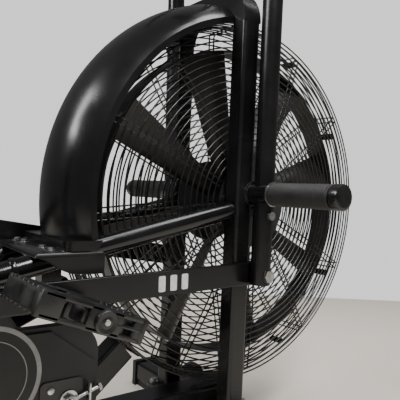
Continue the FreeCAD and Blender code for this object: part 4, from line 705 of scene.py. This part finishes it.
cushion = bmesh.new()
pad(cushion, SEAT_SWELL, seat_low.z + 0.002, seat_high.z - 0.018)
cushion_piece = set_down(cushion, "seat_pad", vinyl, "carriage", ["seat_cushion"], crease=60)
bpy.context.view_layer.objects.active = cushion_piece
remesh = cushion_piece.modifiers.new("even skin", "REMESH")
remesh.mode = "VOXEL"
remesh.voxel_size = 0.005
settled = bpy.data.meshes.new_from_object(cushion_piece.evaluated_get(bpy.context.evaluated_depsgraph_get()))
cushion_piece.modifiers.clear()
cushion_piece.data = settled
rest = [vert.co.copy() for vert in settled.vertices]
held = cushion_piece.vertex_groups.new(name="stapled")
held.add([i for i, co in enumerate(rest) if co.z < seat_low.z + 0.010], 1.0, "REPLACE")
cloth = cushion_piece.modifiers.new("pulled skin", "CLOTH")
cloth.settings.use_pressure = True
cloth.settings.uniform_pressure_force = 4.0
cloth.settings.vertex_group_mass = "stapled"
cloth.settings.effector_weights.gravity = 0.0
cloth.settings.quality = 4
scene = bpy.context.scene
for step in range(1, 21):
    scene.frame_set(step)
swollen = bpy.data.meshes.new_from_object(cushion_piece.evaluated_get(bpy.context.evaluated_depsgraph_get()))
cushion_piece.modifiers.clear()
cushion_piece.data = swollen
scene.frame_set(1)
SWELL_CAP = 0.010
for vert, was in zip(swollen.vertices, rest):
    moved = vert.co - was
    if moved.length > SWELL_CAP:
        vert.co = was + moved.normalized() * SWELL_CAP
    groove = max(0.0, (was.z - seat_high.z + 0.024) / 0.020) * math.exp(-(vert.co.y / 0.007) ** 2)
    vert.co.z -= 0.0045 * min(groove, 1.0)
    vert.co.x = min(max(vert.co.x, seat_low.x + 0.0006), seat_high.x - 0.0006)
    vert.co.y = min(max(vert.co.y, seat_low.y + 0.0006), seat_high.y - 0.0006)
    vert.co.z = min(max(vert.co.z, seat_low.z + 0.0004), seat_high.z - 0.0006)
swollen.materials.clear()
swollen.materials.append(vinyl)
swollen.shade_smooth()
smooth = cushion_piece.modifiers.new("smooth skin", "SUBSURF")
smooth.levels = 1
smooth.render_levels = 1
piping = bmesh.new()
line = []
for i in range(97):
    turn = math.tau * i / 96
    x = (seat_low.x + seat_high.x) / 2 + (seat_high.x - seat_low.x - 2 * SEAT_SWELL) / 2 * math.copysign(
        abs(math.cos(turn)) ** 0.75, math.cos(turn))
    half = seat_half_width((x - seat_low.x) / (seat_high.x - seat_low.x)) - SEAT_SWELL
    y = half * math.copysign(abs(math.sin(turn)) ** 0.62, math.sin(turn))
    line.append(Vector((x, y, seat_low.z + 0.012)))
tube_along(piping, line, 0.0022, 10)
set_down(piping, "seat_piping", vinyl, "carriage")

# ---- console --------------------------------------------------------------------------------
# A moulded case on a friction hinge at the head of its stem, with a tinted window over the
# display and two rubber keys under it.

key_at = box_middle("key_left")
key_at.y = 0
FACE_LEAN = math.radians(25)
face_out = Vector((-math.cos(FACE_LEAN), 0, math.sin(FACE_LEAN)))
face_up = Vector((math.sin(FACE_LEAN), 0, math.cos(FACE_LEAN)))
tinted = finish("tinted window", (0.018, 0.022, 0.024), (0.03, 0.034, 0.036), 0.06, 0.16, patch_scale=30.0,
                grain_depth=0.00001)
glass_at = key_at + face_out * 0.0012 + face_up * 0.066
screen = bmesh.new()
place = Matrix((ACROSS, face_up, -face_out)).transposed().to_4x4()
place.translation = glass_at
block(screen, (0.150, 0.076, 0.0018), place, 0.0007, 2)
set_down(screen, "console_window", tinted, "console")
bezel = bmesh.new()
place.translation = glass_at - face_out * 0.0006
block(bezel, (0.164, 0.090, 0.0012), place, 0.0005, 2)
set_down(bezel, "console_bezel", cap_plastic, "console")
key_rubber = finish("grey key rubber", (0.09, 0.09, 0.092), (0.14, 0.14, 0.14), 0.45, 0.6, patch_scale=60.0)
coat(key_rubber, "key_left", "key_right")

# ---- wheels ---------------------------------------------------------------------------------
# Two hard rubber transport wheels on plain pins, clear of the floor while the bike stands.

for name, side in SIDES:
    wheel_low, wheel_high = (Vector(corner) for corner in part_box("transport_wheel_" + name))
    hub = (wheel_low + wheel_high) / 2
    radius = (wheel_high.z - wheel_low.z) / 2
    half = (wheel_high.y - wheel_low.y) / 2
    wheel = bmesh.new()
    turned(wheel, [(0.0, 0.0043), (0.0, radius * 0.42), (0.002, radius * 0.46), (0.002, radius * 0.78),
                   (0.0, radius * 0.82), (0.0008, radius * 0.95), (0.003, radius), (2 * half - 0.003, radius),
                   (2 * half - 0.0008, radius * 0.95), (2 * half, radius * 0.82),
                   (2 * half - 0.002, radius * 0.78), (2 * half - 0.002, radius * 0.46),
                   (2 * half, radius * 0.42), (2 * half, 0.0043), (0.0, 0.0043)],
           hub - ACROSS * half, ACROSS, 56)
    set_down(wheel, "rubber_wheel_" + name, rubber, "wheel_" + name[0], ["transport_wheel_" + name])

# ---- floor, light and camera ----------------------------------------------------------------
# A plain pale floor with a plain pale background, lit by large soft lamps.

floor_mesh = bpy.data.meshes.new("floor")
floor_plane = bmesh.new()
bmesh.ops.create_grid(floor_plane, x_segments=1, y_segments=1, size=1.0)
VIEW_TURN = math.radians(52.264)
along_view = Vector((math.cos(VIEW_TURN), math.sin(VIEW_TURN), 0))
across_view = Vector((math.sin(VIEW_TURN), -math.cos(VIEW_TURN), 0))
EYE_OFFSET = Vector((-0.605, -0.743, 0.001))
stand = Vector((peg.x + EYE_OFFSET.x, EYE_OFFSET.y, 0))
for vert in floor_plane.verts:
    vert.co = stand + along_view * (0.1 + 2.15 * vert.co.y) + across_view * 4.0 * vert.co.x
floor_plane.to_mesh(floor_mesh)
floor_plane.free()
floor_paint = finish("pale floor", (0.80, 0.74, 0.66), (0.74, 0.68, 0.60), 0.38, 0.5, patch_scale=1.6,
                     grain_scale=60.0)
floor_mesh.materials.append(floor_paint)
floor = bpy.data.objects.new("floor", floor_mesh)
bpy.context.collection.objects.link(floor)

world = bpy.data.worlds.new("pale room")
bpy.context.scene.world = world
world.use_nodes = True
room = world.node_tree
path = room.nodes.new("ShaderNodeLightPath")
strength = room.nodes.new("ShaderNodeMapRange")
strength.inputs["To Min"].default_value = 0.30
strength.inputs["To Max"].default_value = 2.0
room.links.new(path.outputs["Is Camera Ray"], strength.inputs["Value"])
room.links.new(strength.outputs["Result"], room.nodes["Background"].inputs["Strength"])
room.nodes["Background"].inputs["Color"].default_value = (0.56, 0.565, 0.56, 1)


def soft_lamp(name, place, target, size, power):
    lamp = bpy.data.lights.new(name, "AREA")
    lamp.shape = "SQUARE"
    lamp.size = size
    lamp.energy = power
    holder = bpy.data.objects.new(name, lamp)
    bpy.context.collection.objects.link(holder)
    place = peg + Vector(place)
    holder.matrix_world = facing(place, place - (peg + Vector(target)))


soft_lamp("key", (-0.5, -1.5, 2.0), (-0.2, 0, 0), 0.8, 75)
soft_lamp("window", (-2.2, 0.5, 1.5), (-0.3, 0, 0.1), 0.9, 60)
soft_lamp("overhead", (0.6, -0.6, 2.2), (0.1, 0, 0), 1.2, 40)

yaw = VIEW_TURN
pitch = math.radians(-1.055)
roll = math.radians(2.550)
ahead = Vector((math.cos(yaw) * math.cos(pitch), math.sin(yaw) * math.cos(pitch), math.sin(pitch)))
level = Vector((math.sin(yaw), -math.cos(yaw), 0))
upward = level.cross(ahead)
right_hand = math.cos(roll) * level + math.sin(roll) * upward
upright = -math.sin(roll) * level + math.cos(roll) * upward
FOCAL_LENGTH = 45.26
lens = bpy.data.cameras.new("camera")
lens.sensor_fit = "HORIZONTAL"
lens.sensor_width = 36
lens.lens = FOCAL_LENGTH
eye = bpy.data.objects.new("camera", lens)
bpy.context.collection.objects.link(eye)
pose = Matrix((right_hand, upright, -ahead)).transposed().to_4x4()
pose.translation = peg + EYE_OFFSET
eye.matrix_world = pose
bpy.context.scene.camera = eye
